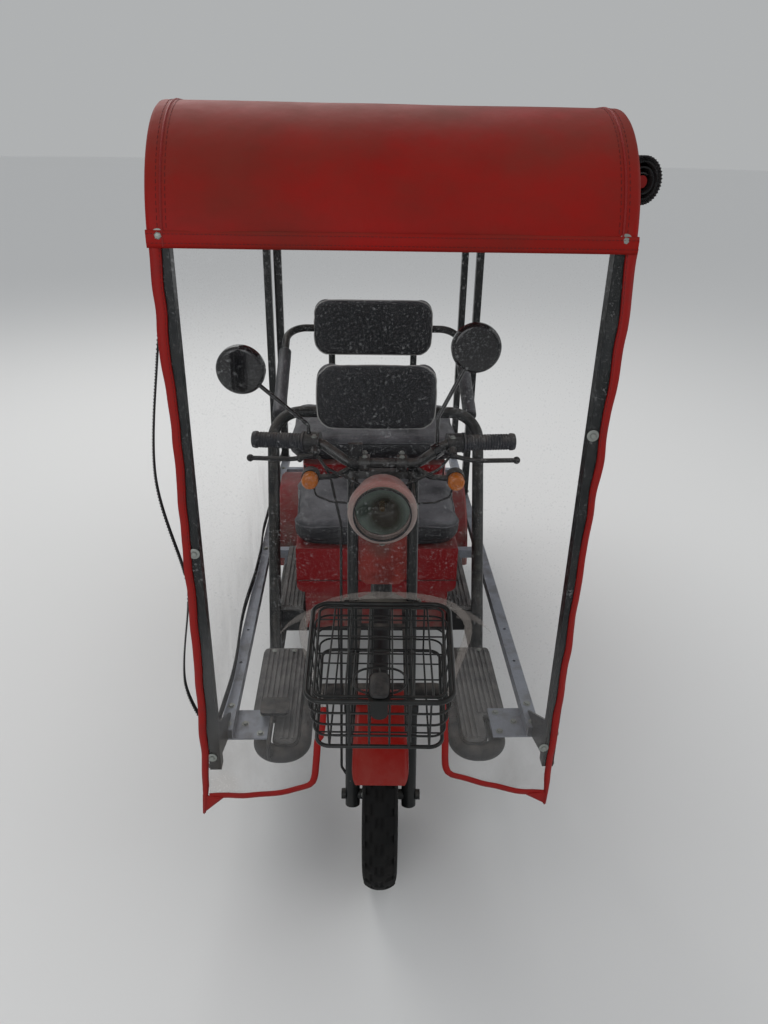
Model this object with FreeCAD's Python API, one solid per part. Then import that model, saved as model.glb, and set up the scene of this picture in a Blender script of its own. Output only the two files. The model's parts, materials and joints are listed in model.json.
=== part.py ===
"""Three-wheeled electric passenger tricycle, an auto rickshaw, with a home-made rain canopy.

One front wheel in a telescopic fork, a wire basket on the fork, a driver's seat and a passenger bench one
behind the other, two rear wheels on leaf springs, and a bolted-on frame of square tube that carries a red
vinyl roof, a clear front screen with a cut-out for the wheel and basket, and zipped side curtains.

Millimetres. +Z is up, +Y points to the rear, +X to the vehicle's own left. The origin is on the ground in
the middle of the overall length and width.
"""
import FreeCAD
import Part
import math
import os

V = FreeCAD.Vector
Q = FreeCAD.Rotation
P = FreeCAD.Placement
X_AXIS, Y_AXIS, Z_AXIS = V(1, 0, 0), V(0, 1, 0), V(0, 0, 1)

# Clearances
seat_gap = 0.3            # between pieces that rest on each other
run_gap = 0.4             # between pieces that turn on each other
stem_play = 0.06          # round the steering stem

# Wheels
tyre_radius = 205.0
tyre_width = 78.0
tyre_shoulder = 0.78      # the tread starts at this share of the half width
tyre_crown = 13.0
bead_radius = 128.0
rim_lip = 9.0
rim_width = 56.0
rim_edge = 5.0
hub_half = 38.0
hub_radius = 30.0
disc_thick = 5.0
disc_dish = 12.0          # the disc stands this far out from the wheel's middle
disc_holes = 8
disc_hole_radius = 13.0
disc_hole_circle = 78.0
axle_radius = 7.0
axle_nut = 12.0
spacer_radius = 12.0
front_axle_y = -740.0
rear_axle_y = 570.0
rear_half_track = 290.0

# Steering and fork
rake = 15.0               # degrees the steering axis leans back
rest_turn = -2.4          # degrees the parked steering stands turned, to the vehicle's right
fork_offset = 35.0        # fork tubes stand this far ahead of the steering axis
fork_half_span = 66.0
slider_radius = 17.0
stanchion_radius = 12.0
slider_foot = 26.0        # slider below the axle
slider_top = 215.0        # heights along the steering axis, from the axle's foot on it
crown_low = 452.0
crown_high = 745.0
crown_thick = 16.0
crown_back = 20.0
crown_neck = 26.0
stem_radius = 12.5
head_radius = 22.0
fork_top = 775.0
panel_low = 505.0
panel_high = 640.0
panel_thick = 4.0

# Handlebar and what is on it
bar_radius = 11.0
bar_half_width = 281.0
bar_bend_x = 138.0
bar_low_x = 74.0
bar_low_y = -545.0
bar_low_z = 968.0
bar_high_y = -520.0
bar_high_z = 1006.0
bar_end_y = -498.0
clamp_x = 40.0
clamp_radius = 19.0
grip_length = 112.0
grip_radius = 16.0
switch_length = 33.0
switch_radius = 21.0
lever_radius = 5.0
lever_reach = 56.0
bracket_x = (-75.0, -45.0)
bracket_height = 45.0
mirror_radius = 52.0
mirror_thick = 18.0
mirror_y = -518.0
mirror_stalk = 4.5
# One row for each mirror: foot x, height where the stalk bends, mirror x, mirror z
mirror_rows = ((-161.0, 1044.0, -300.0, 1160.0), (115.0, 1067.0, 190.0, 1210.0))
lamp_radius = 70.0
lamp_depth = 92.0
lamp_rim = 11.0
lamp_y = -702.0
lamp_z = 925.0
lens_x = 152.0
lens_z = 957.0
lens_y = -606.0
lens_radius = 17.0
lens_depth = 24.0
lead_radius = 2.2
cable_radius = 3.0

# Front fender and basket
fender_gap = 32.0
fender_half_width = 60.0
fender_thick = 3.0
fender_skirt = 20.0
fender_rear_angle = 17.0  # above the axle, behind
fender_sweep = 113.0
fender_corner = 12.0
fender_front_z = 387.0
fender_round = 16.0
basket_rear_y = -818.0
basket_length = 288.0
basket_rim_z = 785.0
basket_height = 106.0
basket_rear_half = 131.0
basket_front_half = 120.0
basket_taper = 14.0       # how far each wall leans in at the floor
basket_corner = 30.0
rim_wire = 4.5
bar_wire = 3.2
floor_wire = 3.4
ring_wire = 2.0
mesh_wire = 1.8
cross_wire = 1.5
stay_x = 50.0             # thick wires and carrier arms
wall_rings = (0.25, 0.5, 0.75)
# One row for each pair of lengthwise wires: distance from the middle, radius
lengthwise_wires = ((17.0, mesh_wire), (stay_x, bar_wire), (84.0, mesh_wire))
cross_wires = 5
carrier_side = 12.0
carrier_reach = 220.0     # ahead of the basket's rear rim
carrier_root_z = 655.0
tie_y = -706.0
lid_inset = 13.0
lid_wire = 2.6
lid_wire_x = (21.0, 56.0, 88.0)
lid_cross_wires = (0.16, 0.36, 0.56)
loop_half = 44.0
loop_length = 74.0
eye_x = 67.0
latch_half = 18.0
latch_length = 72.0
latch_drop = 33.0

# Chassis
spine_radius = 25.0
side_radius = 21.0
cross_radius = 15.0
frame_z = 258.0
rear_frame_z = 360.0
side_outer_x = 290.0
side_inner_x = 190.0
side_front_y = -662.0
side_end_y = 310.0
side_bend = 45.0
brace_radius = 14.0
cross_y = (-120.0, 160.0, 285.0)
spine_front_y = -420.0
spine_end_y = 284.0
spine_bend = 90.0
frame_end_y = 918.0
bumper_half = 300.0
bumper_y = 972.0
bumper_z = 372.0
bumper_radius = 13.0

# Rear axle and springs
axle_tube_radius = 24.0
gear_case_half = 42.0
gear_case_radius = 72.0
motor_end_x = 150.0
motor_radius = 58.0
spring_end_z = 316.0
spring_half = 176.0
spring_thick = 18.0
leaf_half_width = 20.0

# Floors
floor_z = 284.0
plate_thick = 5.0
mat_thick = 9.0
rib_height = 4.0
board_inner_x = 198.0
board_outer_x = 320.0
board_notch_x = 262.0     # the front outer corner is cut back to here
board_front_y = -660.0
board_notch_y = -572.0
board_rear_y = -280.0
mat_inset = 4.0
pedal_x = (-295.0, -225.0)
pedal_y = (-600.0, -540.0)
pedal_z = 322.0
platform_clear = 3.5
platform_y = (-170.0, 214.0)
platform_top = 345.0

# Seats
shell = 4.0
base_front_y = -150.0
base_rear_y = 208.0
base_lip = 6.0            # the upper part stands this far ahead of the lower one
base_half = 232.0
base_round = 22.0
base_low_half = 209.0
base_step_z = 402.0
base_top_z = 545.0
battery_half = 150.0
battery_y = (-96.0, 96.0)
battery_height = 184.0
seat_overhang = 30.0
driver_seat_half = base_half + seat_overhang
driver_seat_y = (-176.0, 202.0)
driver_seat_thick = 82.0
body_half = 235.0
body_y = (250.0, 858.0)
body_top_z = 635.0
body_low_z = 322.0
rear_rail_inset = 45.0    # rear frame rails inside the passenger's body
rear_rail_x = body_half - rear_rail_inset
bench_half = 295.0
bench_y = (243.0, 656.0)
bench_thick = 82.0
pad_thick = 46.0
pad_corner = 46.0
driver_pad_half = 184.0
driver_pad_z = (800.0, 1010.0)
passenger_pad_half = 216.0
passenger_pad_z = (883.0, 1093.0)

# Driver's hoop and passenger's rail
hoop_radius = 17.0
hoop_clear = 52.0         # from the driver's seat to the middle of the hoop
hoop_half = driver_seat_half + hoop_clear
hoop_y = 170.0
hoop_z = 842.0
hoop_foot_y = -262.0
hoop_bend = 85.0
rail_radius = 13.0
rail_half = 309.0
rail_y = 716.0
rail_z = 975.0
rail_front_y = 300.0
rail_front_z = 790.0
rail_stand_x = 150.0
rest_radius = 22.0
rest_length = 320.0

# Rear fittings
rear_fender_gap = 38.0
rear_fender_out = 50.0     # beyond the middle of the wheel
rear_fender_sweep = 184.0
tail_lamp_x = (118.0, 214.0)
tail_lamp_z = (512.0, 572.0)
tail_lamp_depth = 30.0

# Canopy
canopy_half = 367.0       # middle of the posts
post = 25.0
post_front_y = -787.5
post_mid_y = 680.0
post_rear_y = 1068.5
post_foot_z = 345.0
roof_top_z = 1650.0
roof_bend = 200.0
bend_end_y = -420.0       # where the front posts' bend has become the roof rail
rear_bend = 26.0
cloth = 2.0
roof_half = 388.0
roof_front_y = -806.0
roof_rear_y = 1106.0
hem_z = 1440.0
rear_hem_z = 1300.0
bow_y = (-380.0, -60.0, 260.0, 680.0, 1010.0)
bow_side = 20.0
base_rail = 30.0
base_rail_wall = 2.0
base_rail_y = (-660.0, 1086.0)
base_rail_z = 303.0
member_y = (219.0, 925.0)
front_plate_y = (-656.0, -556.0)
front_plate_x = 272.0
hole_radius = 4.25
hole_y = (-400.0, -250.0)
gusset_thick = 6.0
gusset_top_z = 450.0
screen_thick = 1.6
screen_half = 383.0
screen_foot_z = 262.0
screen_edge_rise = 36.0
# The cut-out's right half, foot to top, as distances from the middle and heights, and its corners' radii
cutout_right = ((154.0, 330.0), (132.0, 500.0), (160.0, 722.0), (92.0, 786.0))
cutout_bends = (40.0, 300.0, 40.0, 70.0)
valance_z = 1594.0
curtain_thick = 1.4
curtain_foot_z = 340.0
curtain_top_z = 1614.0
curtain_y = (-770.0, 1062.0)
curtain_bend = 170.0
tape_y = -722.0
tape_wide = 12.0
tape_thick = 2.0
# The loose zip tape from top to foot: bulge outside the curtain, height
tape_rows = ((0.0, 1380.0), (28.0, 1250.0), (58.0, 1010.0), (21.0, 800.0), (21.0, 733.0), (49.0, 520.0),
             (1.0, 370.0))
tape_bend = 400.0
roll_half_width = 36.5
roll_half_height = 44.0
roll_z = 1540.0
roll_y = (-700.0, 1050.0)

# Nodes that turn with the handlebar
steering_nodes = ("front_tyre", "front_rim", "fork_sliders", "fork_stanchions", "fork_crowns", "grips",
                  "bar_controls", "headlamp_housing", "headlamp_glass", "apron_panel", "front_brackets",
                  "indicator_lenses", "mirrors", "front_fender", "cables", "basket", "basket_lid")


def box(x0, x1, y0, y1, z0, z1):
    """A block between two corners."""
    return Part.makeBox(x1 - x0, y1 - y0, z1 - z0, V(x0, y0, z0))


def rod(start, end, radius):
    """A round bar from one point to another."""
    start, end = V(*start), V(*end)
    return Part.makeCylinder(radius, (end - start).Length, start, end - start)


def mirrored(shape):
    """The same piece on the other side."""
    return shape.mirror(V(0, 0, 0), X_AXIS)


def both(shape):
    """A piece and its mirror image."""
    return [shape, mirrored(shape)]


def largest(shape):
    """The biggest solid that a cut has left."""
    return max(shape.Solids, key=lambda piece: piece.Volume)


def path(points, bend):
    """Straight runs through the points, joined by tangent arcs. bend is one radius or one for each corner."""
    pts = [V(*p) for p in points]
    radii = bend if isinstance(bend, (list, tuple)) else [bend] * (len(pts) - 2)
    edges, last = [], pts[0]
    for i, radius in enumerate(radii, start=1):
        into = (pts[i] - pts[i - 1]).normalize()
        out = (pts[i + 1] - pts[i]).normalize()
        turn = into.getAngle(out)
        reach = radius * math.tan(turn / 2)
        first, final = pts[i] - into * reach, pts[i] + out * reach
        inward = (out - into).normalize()
        middle = pts[i] + inward * (radius / math.cos(turn / 2) - radius)
        if (first - last).Length > 1e-6:
            edges.append(Part.LineSegment(last, first).toShape())
        edges.append(Part.Arc(first, middle, final).toShape())
        last = final
    edges.append(Part.LineSegment(last, pts[-1]).toShape())
    return Part.Wire(edges)


def bent_tube(points, bend, radius):
    """A round bar along bent runs."""
    line = path(points, bend)
    start, towards = V(*points[0]), V(*points[1]) - V(*points[0])
    ring = Part.Wire(Part.Circle(start, towards, radius).toShape())
    return line.makePipeShell([ring], True, False)


def bent_bar(points, bend, flat, wide, thick):
    """A rectangular bar along runs in one plane. flat is the plane's normal, along which the bar is wide."""
    line = path(points, bend)
    start = V(*points[0])
    along = (V(*points[1]) - start).normalize()
    across = along.cross(flat)
    turns = ((1, 1), (-1, 1), (-1, -1), (1, -1), (1, 1))
    corners = [start + flat * (a * wide / 2) + across * (b * thick / 2) for a, b in turns]
    return line.makePipeShell([Part.makePolygon(corners)], True, False)


def bent_square(points, bend, side):
    """A square bar along bent runs that lie in a plane of constant x."""
    return bent_bar(points, bend, X_AXIS, side, side)


def closed_wire(line, radius):
    """A round wire along a closed line of straight runs and arcs."""
    faces = []
    for edge in line.Edges:
        start = edge.valueAt(edge.FirstParameter)
        along = edge.tangentAt(edge.FirstParameter)
        ring = Part.Circle(start, along, radius).toShape()
        if edge.Curve.TypeId == "Part::GeomLine":
            faces.append(ring.extrude(along * edge.Length))
        else:
            middle = edge.Curve.Center
            turn = math.degrees(edge.Length / edge.Curve.Radius)
            faces.append(ring.revolve(middle, (start - middle).cross(along), turn))
    shell = Part.makeShell([face for shape in faces for face in shape.Faces])
    shell.sewShape()
    solid = Part.makeSolid(shell)
    return solid if solid.Volume > 0 else solid.reversed()


def kinked_wire(points, radius):
    """A round wire along straight runs with sharp corners."""
    pts = [V(*p) for p in points]
    ring = Part.Wire(Part.Circle(pts[0], pts[1] - pts[0], radius).toShape())
    return Part.makePolygon(pts).makePipeShell([ring], True, False, 1)


def outline_face(points, radii=None):
    """A flat face inside a closed outline, with its corners rounded where radii is given."""
    n = len(points)
    pts = [V(*p) for p in points]
    radii = radii or [0] * n
    edges, firsts, finals, mids = [], [], [], []
    for i in range(n):
        into = (pts[i] - pts[i - 1]).normalize()
        out = (pts[(i + 1) % n] - pts[i]).normalize()
        turn = into.getAngle(out)
        reach = radii[i] * math.tan(turn / 2)
        firsts.append(pts[i] - into * reach)
        finals.append(pts[i] + out * reach)
        if radii[i]:
            inward = (out - into).normalize()
            mids.append(pts[i] + inward * (radii[i] / math.cos(turn / 2) - radii[i]))
        else:
            mids.append(None)
    for i in range(n):
        if mids[i] is not None:
            edges.append(Part.Arc(firsts[i], mids[i], finals[i]).toShape())
        nxt = firsts[(i + 1) % n]
        if (nxt - finals[i]).Length > 1e-6:
            edges.append(Part.LineSegment(finals[i], nxt).toShape())
    return Part.Face(Part.Wire(Part.__sortEdges__(edges)))


def rounded_block(x_half, y0, y1, z0, z1, corner, front_half=None):
    """An upright block with rounded vertical edges, narrower at the front if front_half is given."""
    f = front_half or x_half
    pts = [(-f, y0, z0), (f, y0, z0), (x_half, y1, z0), (-x_half, y1, z0)]
    return outline_face(pts, [corner] * 4).extrude(V(0, 0, z1 - z0))


def eased(shape, radius, pick):
    """The shape with those of its edges rounded that pick() chooses by their middle point."""
    edges = [e for e in shape.Edges if pick(e.CenterOfMass)]
    return shape.makeFillet(radius, edges)


def revolved(points, axis_point, axis, angle=360):
    """A closed profile turned about an axis."""
    line = Part.makePolygon([V(*p) for p in points] + [V(*points[0])])
    return Part.Face(line).revolve(axis_point, axis, angle)


def steer_frame():
    """Where the steering axis stands: local z runs up it, local -y points ahead."""
    foot_y = front_axle_y + fork_offset / math.cos(math.radians(rake))
    return P(V(0, foot_y, tyre_radius), Q(X_AXIS, -rake))


def placed(shape, placement):
    """A copy of the shape moved by a placement."""
    moved = shape.copy()
    moved.Placement = placement.multiply(moved.Placement)
    return moved


def steered(shape):
    """A piece drawn along the steering axis, put in its place."""
    return placed(shape, steer_frame())


def steer_point(x, y, z):
    """A point drawn along the steering axis, in the vehicle's frame."""
    return steer_frame().multVec(V(x, y, z))


def parked(shape):
    """A piece of the steering, turned as the vehicle stands."""
    foot = steer_point(0, 0, 0)
    up = steer_point(0, 0, 1) - foot
    return placed(shape, P(V(0, 0, 0), Q(up, rest_turn), foot))


def axle_drop():
    """The axle's height along the steering axis."""
    return -fork_offset * math.tan(math.radians(rake))


def tyre(x, y):
    """A road tyre with a rounded crown, upright at x, its axle along X."""
    half, c = tyre_width / 2, tyre_radius
    middle = bead_radius + 0.5 * (c - bead_radius)
    right = [(rim_width / 2, bead_radius), (rim_width / 2, bead_radius + rim_lip + 3), (half, middle),
             (tyre_shoulder * half, c - tyre_crown)]
    points = [V(x + d, y, c + r) for d, r in right]
    other = [V(2 * x - p.x, p.y, p.z) for p in points]
    edges = [Part.LineSegment(points[0], points[1]).toShape(), Part.Arc(*points[1:]).toShape(),
             Part.Arc(points[3], V(x, y, c + c), other[3]).toShape(),
             Part.Arc(other[3], other[2], other[1]).toShape(),
             Part.LineSegment(other[1], other[0]).toShape(), Part.LineSegment(other[0], points[0]).toShape()]
    return Part.Face(Part.Wire(edges)).revolve(V(0, y, c), X_AXIS, 360)


def wheel_rim(x, y, bore):
    """A pressed steel rim with a dished disc, a hub and a ring of round holes."""
    half, lip, foot, edge = rim_width / 2, bead_radius + rim_lip, bead_radius - seat_gap, rim_edge
    c, face, back = tyre_radius, disc_dish, disc_dish + disc_thick
    root = hub_radius + 12
    profile = [(-half - edge, lip), (-half - seat_gap, lip), (-half - seat_gap, foot), (half + seat_gap, foot),
               (half + seat_gap, lip), (half + edge, lip), (half + edge, foot - edge), (back, foot - 16),
               (back, root), (hub_half, hub_radius), (hub_half, bore), (-hub_half, bore),
               (-hub_half, hub_radius), (face, root), (face, foot - 16), (-half + 6, foot - 6),
               (-half - edge, foot - edge)]
    disc = revolved([(x + d, y, c + r) for d, r in profile], V(0, y, c), X_AXIS)
    holes = []
    for i in range(disc_holes):
        turn = 2 * math.pi * i / disc_holes
        middle = V(x - 5, y + disc_hole_circle * math.sin(turn), c + disc_hole_circle * math.cos(turn))
        holes.append(Part.makeCylinder(disc_hole_radius, 40, middle, X_AXIS))
    return disc.cut(Part.makeCompound(holes))


def wheels():
    """Three tyred wheels, each free on its axle."""
    made = {}
    places = (("front", 0.0, front_axle_y), ("rear_left", rear_half_track, rear_axle_y),
              ("rear_right", -rear_half_track, rear_axle_y))
    for name, x, y in places:
        rim = wheel_rim(abs(x), y, axle_radius + run_gap)
        made[name + "_tyre"] = [tyre(x, y)]
        made[name + "_rim"] = [mirrored(rim) if x < 0 else rim]
    return made


def fork():
    """Telescopic fork: sliders with the axle, stanchions, two crowns and the steering stem."""
    low, y, span = axle_drop(), -fork_offset, fork_half_span
    legs, stanchions, ends = [], [], []
    for s in (-1, 1):
        x = s * span
        legs.append(rod((x, y, low - slider_foot), (x, y, slider_top), slider_radius))
        legs.append(rod((x, y, slider_top - 14), (x, y, slider_top + 4), slider_radius + 3))
        stanchions.append(rod((x, y, slider_top + 4), (x, y, fork_top), stanchion_radius))
        ends.append(rod((s * (span + 16), y, low), (s * (span + 26), y, low), axle_nut))
        ends.append(rod((s * (hub_half + seat_gap), y, low), (s * (span - 10), y, low), spacer_radius))
    axle = rod((-span - 24, y, low), (span + 24, y, low), axle_radius)
    lower = axle.multiFuse(legs + ends)
    ear = slider_radius + 5
    crowns = []
    for z in (crown_low, crown_high):
        ears = [rod((x, y, z), (x, y, z + crown_thick), ear) for x in (-span, span)]
        front, side, back = y - slider_radius, span + 6, crown_back
        plate = outline_face([(-side, front, z), (side, front, z), (crown_neck, back, z),
                              (-crown_neck, back, z)], [4, 4, 14, 14])
        crown = plate.extrude(V(0, 0, crown_thick)).multiFuse(ears)
        crowns.append(crown.cut(Part.makeCompound(stanchions)))
    stem = rod((0, 0, crown_low + crown_thick), (0, 0, crown_high), stem_radius)
    crowns = crowns[0].multiFuse([stem, crowns[1]])
    return {"fork_sliders": [steered(lower)], "fork_stanchions": [steered(s) for s in stanchions],
            "fork_crowns": [steered(crowns)]}


def handlebar(made):
    """One bent tube clamped on the upper crown, with grips, switch boxes, levers and a small bracket."""
    half = [(bar_half_width, bar_end_y, bar_high_z - 4), (bar_bend_x, bar_high_y, bar_high_z),
            (bar_low_x, bar_low_y, bar_low_z)]
    points = half + [(-x, y, z) for x, y, z in reversed(half)]
    bar = bent_tube(points, [60, 45, 45, 60], bar_radius)
    start, end = V(*half[0]), V(*half[1])
    inward = (end - start).normalize()
    grips, boxes, levers = [], [], []
    perch_at = grip_length + 22
    for s in (1, -1):
        def at(distance, drop=0.0, ahead=0.0):
            p = start + inward * distance
            return (s * p.x, p.y - ahead, p.z - drop)
        tube = rod(at(-4), at(grip_length), grip_radius)
        flange = rod(at(grip_length - 6), at(grip_length), grip_radius + 6)
        knob = rod(at(-4), at(6), grip_radius + 3)
        grips.append(tube.multiFuse([flange, knob]).cut(bar))
        switch = rod(at(grip_length + 1), at(grip_length + 1 + switch_length), switch_radius)
        perch = rod(at(perch_at, 6, 12), at(perch_at, 14, 40), 9)
        boxes.append(switch.fuse(perch).cut(bar))
        bends = [at(perch_at, 14, 41), at(grip_length - 20, 20, lever_reach), at(-6, 26, lever_reach - 12)]
        levers.append(bent_tube(bends, 60, lever_radius).fuse(Part.makeSphere(8, V(*bends[2]))))
    clamps = [rod((x - 11, bar_low_y, bar_low_z), (x + 11, bar_low_y, bar_low_z), clamp_radius)
              for x in (-clamp_x, clamp_x)]
    seat = steer_point(0, -fork_offset, crown_high + crown_thick)
    feet = [rod((x, bar_low_y, bar_low_z), (x, seat.y + 14, seat.z - 2), 10) for x in (-clamp_x, clamp_x)]
    yoke = made["fork_crowns"][0].multiFuse(clamps + feet + [bar])
    yoke = largest(yoke.cut(Part.makeCompound(made["fork_stanchions"])))
    ring = rod((bracket_x[0], bar_low_y, bar_low_z), (bracket_x[1], bar_low_y, bar_low_z), bar_radius + 3)
    bracket = box(*bracket_x, bar_low_y - 6, bar_low_y + 6, bar_low_z, bar_low_z + bracket_height)
    bracket = largest(bracket.fuse(ring).cut(yoke).cut(Part.makeCompound(made["fork_stanchions"])))
    controls = [b.fuse(lever).cut(yoke) for b, lever in zip(boxes, levers)]
    return {"fork_crowns": [yoke], "grips": grips, "bar_controls": controls + [bracket]}


def head_lamp():
    """A round lamp with its rim ring and glass, and the two plates that carry it between the fork's tubes."""
    y0, r = lamp_y, lamp_radius
    c = V(0, 0, lamp_z)
    outer = [(r - 10, 12), (r - 6, 30), (r - 12, 62), (r - 32, lamp_depth - 6), (0, lamp_depth)]
    inner = [(0, lamp_depth - 3), (r - 34, lamp_depth - 10), (r - 15, 60), (r - 10, 30), (r - 14, 12)]
    housing = revolved([(d, y0 + back, c.z) for d, back in outer + inner], c, Y_AXIS)
    inside = r - lamp_rim
    ring = [(r - 4, -4), (r, 0), (r, 14), (r - 5.5, 17), (r - 9.7, 17), (r - 9.7, 11.7), (inside, 11.7),
            (inside, -4)]
    bezel = revolved([(d, y0 + back, c.z) for d, back in ring], c, Y_AXIS)
    rim = inside - seat_gap
    lens = [(0, -8), (rim / 2, -6), (rim, 0), (rim, 4), (0, 4)]
    glass = revolved([(d, y0 + back, c.z) for d, back in lens], c, Y_AXIS)
    ears = [box(*sorted((s * (r - 8), s * (r - 3))), y0 + 22, bar_low_y, lamp_z - 18, lamp_z + 18)
            for s in (1, -1)]
    return housing.fuse(bezel), glass, ears


def front_guard(made):
    """The front fender, with its front edge cut level and notched round the fork's tubes."""
    r, h, t = tyre_radius + fender_gap, fender_half_width, fender_thick
    y, skirt = front_axle_y, fender_skirt
    points = [(-h, r - skirt), (-h, r + t), (h, r + t), (h, r - skirt), (h - t, r - skirt), (h - t, r),
              (-h + t, r), (-h + t, r - skirt)]
    outer, inner = fender_corner, fender_corner - t
    section = outline_face([(x, y + d, tyre_radius) for x, d in points], [0, outer, outer, 0, 0, inner, inner, 0])
    middle = V(0, y, tyre_radius)
    guard = section.revolve(middle, X_AXIS, fender_sweep)
    guard.rotate(middle, X_AXIS, fender_rear_angle)
    high = fender_front_z + 80
    ahead = box(-h - 1, h + 1, y - r - 20, y - r / 2, fender_front_z - 80, high)
    kept = outline_face([(-h, y - r - 20, fender_front_z), (h, y - r - 20, fender_front_z),
                         (h, y - r - 20, high), (-h, y - r - 20, high)], [fender_round, fender_round, 0, 0])
    guard = guard.cut(ahead.cut(kept.extrude(V(0, r, 0))))
    return largest(guard.cut(Part.makeCompound(made["fork_sliders"] + made["fork_stanchions"])))


def mirrors(made):
    """Two round mirrors on bent stalks."""
    backs = []
    around = Part.makeCompound(made["fork_crowns"] + made["bar_controls"] + made["grips"])
    for foot_x, bend_z, x, z in mirror_rows:
        slope = (abs(foot_x) - bar_low_x) / (bar_bend_x - bar_low_x)
        share = min(1.0, slope)
        foot_y = bar_low_y + (bar_high_y - bar_low_y) * share
        foot_z = bar_low_z + (bar_high_z - bar_low_z) * share
        back = rod((x, mirror_y, z), (x, mirror_y + mirror_thick, z), mirror_radius)
        back = eased(back, 10, lambda m: m.y < mirror_y + 1)
        stalk_y = mirror_y + 7
        reach = V(foot_x, stalk_y, bend_z) - V(x, stalk_y, z)
        edge = V(x, stalk_y, z) + reach.normalize() * (mirror_radius - 6)
        stalk = bent_tube([(foot_x, foot_y, foot_z), (foot_x, foot_y, bend_z), (edge.x, edge.y, edge.z)],
                          14, mirror_stalk)
        along = V(math.copysign(bar_bend_x - bar_low_x, foot_x), bar_high_y - bar_low_y, bar_high_z - bar_low_z)
        along = along.normalize() * 8
        foot = V(foot_x, foot_y, foot_z)
        ring = Part.makeCylinder(bar_radius + 5, 16, foot - along, along)
        backs.append(largest(back.multiFuse([stalk, ring]).cut(around)))
    return backs


def basket_carrier(made):
    """Two square arms from the lower crown under the basket's floor, joined by a short tie."""
    z, rear = basket_floor_z() - bar_wire - seat_gap - carrier_side / 2, carrier_root_z
    arms = []
    for x in (-stay_x, stay_x):
        points = [(x, basket_rear_y - carrier_reach, z), (x, basket_rear_y + 16, z), (x, tie_y, rear),
                  (x, tie_y + 76, rear)]
        arms.append(bent_square(points, [30, 30], carrier_side))
    tie = box(-stay_x - 8, stay_x + 8, tie_y - 6, tie_y + 6, rear - 5, rear + 5)
    around = made["fork_crowns"] + made["fork_stanchions"] + made["fork_sliders"]
    return largest(arms[0].multiFuse([arms[1], tie]).cut(Part.makeCompound(around)))


def steering_fittings(made):
    """Lamp, apron panel, indicators, mirrors, basket carrier and fender, all turning with the fork."""
    around = Part.makeCompound(made["fork_stanchions"] + made["fork_crowns"] + made["bar_controls"])
    housing, glass, ears = head_lamp()
    ears = [largest(e.cut(around).cut(housing)) for e in ears]
    front = -fork_offset + 2
    w = fork_half_span - stanchion_radius - seat_gap
    panel = outline_face([(-w, front, panel_low), (w, front, panel_low), (w, front, panel_high),
                          (-w, front, panel_high)], [26, 26, 4, 4])
    panel = steered(panel.extrude(V(0, -panel_thick, 0)))
    stalks, ambers = [], []
    for s in (1, -1):
        stalk = bent_tube([(s * (fork_half_span + 4), lens_y + 60, lens_z), (s * 100, lens_y + 14, lens_z),
                           (s * (lens_x - 12), lens_y + 6, lens_z)], 12, 6)
        cup = rod((s * lens_x, lens_y + 22, lens_z), (s * lens_x, lens_y, lens_z), lens_radius + 2)
        stalks.append(largest(stalk.cut(around)).fuse(cup))
        face_y = lens_y - lens_depth
        lens = rod((s * lens_x, lens_y - seat_gap, lens_z), (s * lens_x, face_y, lens_z), lens_radius)
        ambers.append(eased(lens, 8, lambda m: m.y < face_y + 1))
    return {"headlamp_housing": [housing], "headlamp_glass": [glass], "apron_panel": [panel],
            "front_brackets": ears + stalks + [basket_carrier(made)], "indicator_lenses": ambers,
            "mirrors": mirrors(made), "front_fender": [front_guard(made)]}


def cables(made):
    """Leads of the lamp, the indicators and the switches, and the front brake's cable down the fork."""
    runs = []
    for s in (1, -1):
        runs.append(([(s * (lens_x - 3), lens_y + 10, lens_z - 14), (s * (lens_x - 10), lens_y + 6, lens_z - 42),
                      (s * 112, lens_y + 4, lens_z - 55), (s * 60, lens_y - 6, lens_z - 54),
                      (s * 26, lens_y - 16, lens_z - 40)], [10, 20, 30], lead_radius))
        runs.append(([(s * 150, bar_low_y + 9, bar_low_z + 22), (s * 118, bar_low_y - 51, bar_low_z + 8),
                      (s * 62, bar_low_y - 62, bar_low_z - 16), (s * 22, bar_low_y - 73, bar_low_z - 34)],
                     [26, 40], cable_radius))
    side = -fork_half_span - slider_radius - 9
    points = [V(-150, bar_low_y + 15, bar_low_z + 22), V(side - 24, bar_low_y, bar_low_z - 28),
              steer_point(side, -fork_offset, 640), steer_point(side, -fork_offset, 60),
              steer_point(side + 20, -fork_offset, 26)]
    runs.append(([(p.x, p.y, p.z) for p in points], [40, 60, 16], cable_radius))
    names = ("front_brackets", "headlamp_housing", "bar_controls", "fork_crowns", "fork_stanchions",
             "fork_sliders", "grips", "mirrors", "front_fender")
    around = Part.makeCompound([solid for name in names for solid in made[name]])
    return {"cables": [largest(bent_tube(*run).cut(around)) for run in runs]}


def basket_floor_z():
    """Height of the wires in the basket's floor."""
    return basket_rim_z - basket_height


def basket_ring(share, radius):
    """One ring round the basket. share is 0 at the rim and 1 at the floor."""
    lean = basket_taper * share
    y1, y0 = basket_rear_y - lean / 3, basket_rear_y - basket_length + lean
    rear, front, z = basket_rear_half - lean, basket_front_half - lean, basket_rim_z - basket_height * share
    corners = [(-rear, y1, z), (rear, y1, z), (front, y0, z), (-front, y0, z)]
    return closed_wire(outline_face(corners, [basket_corner - lean / 2] * 4).OuterWire, radius)


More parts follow.
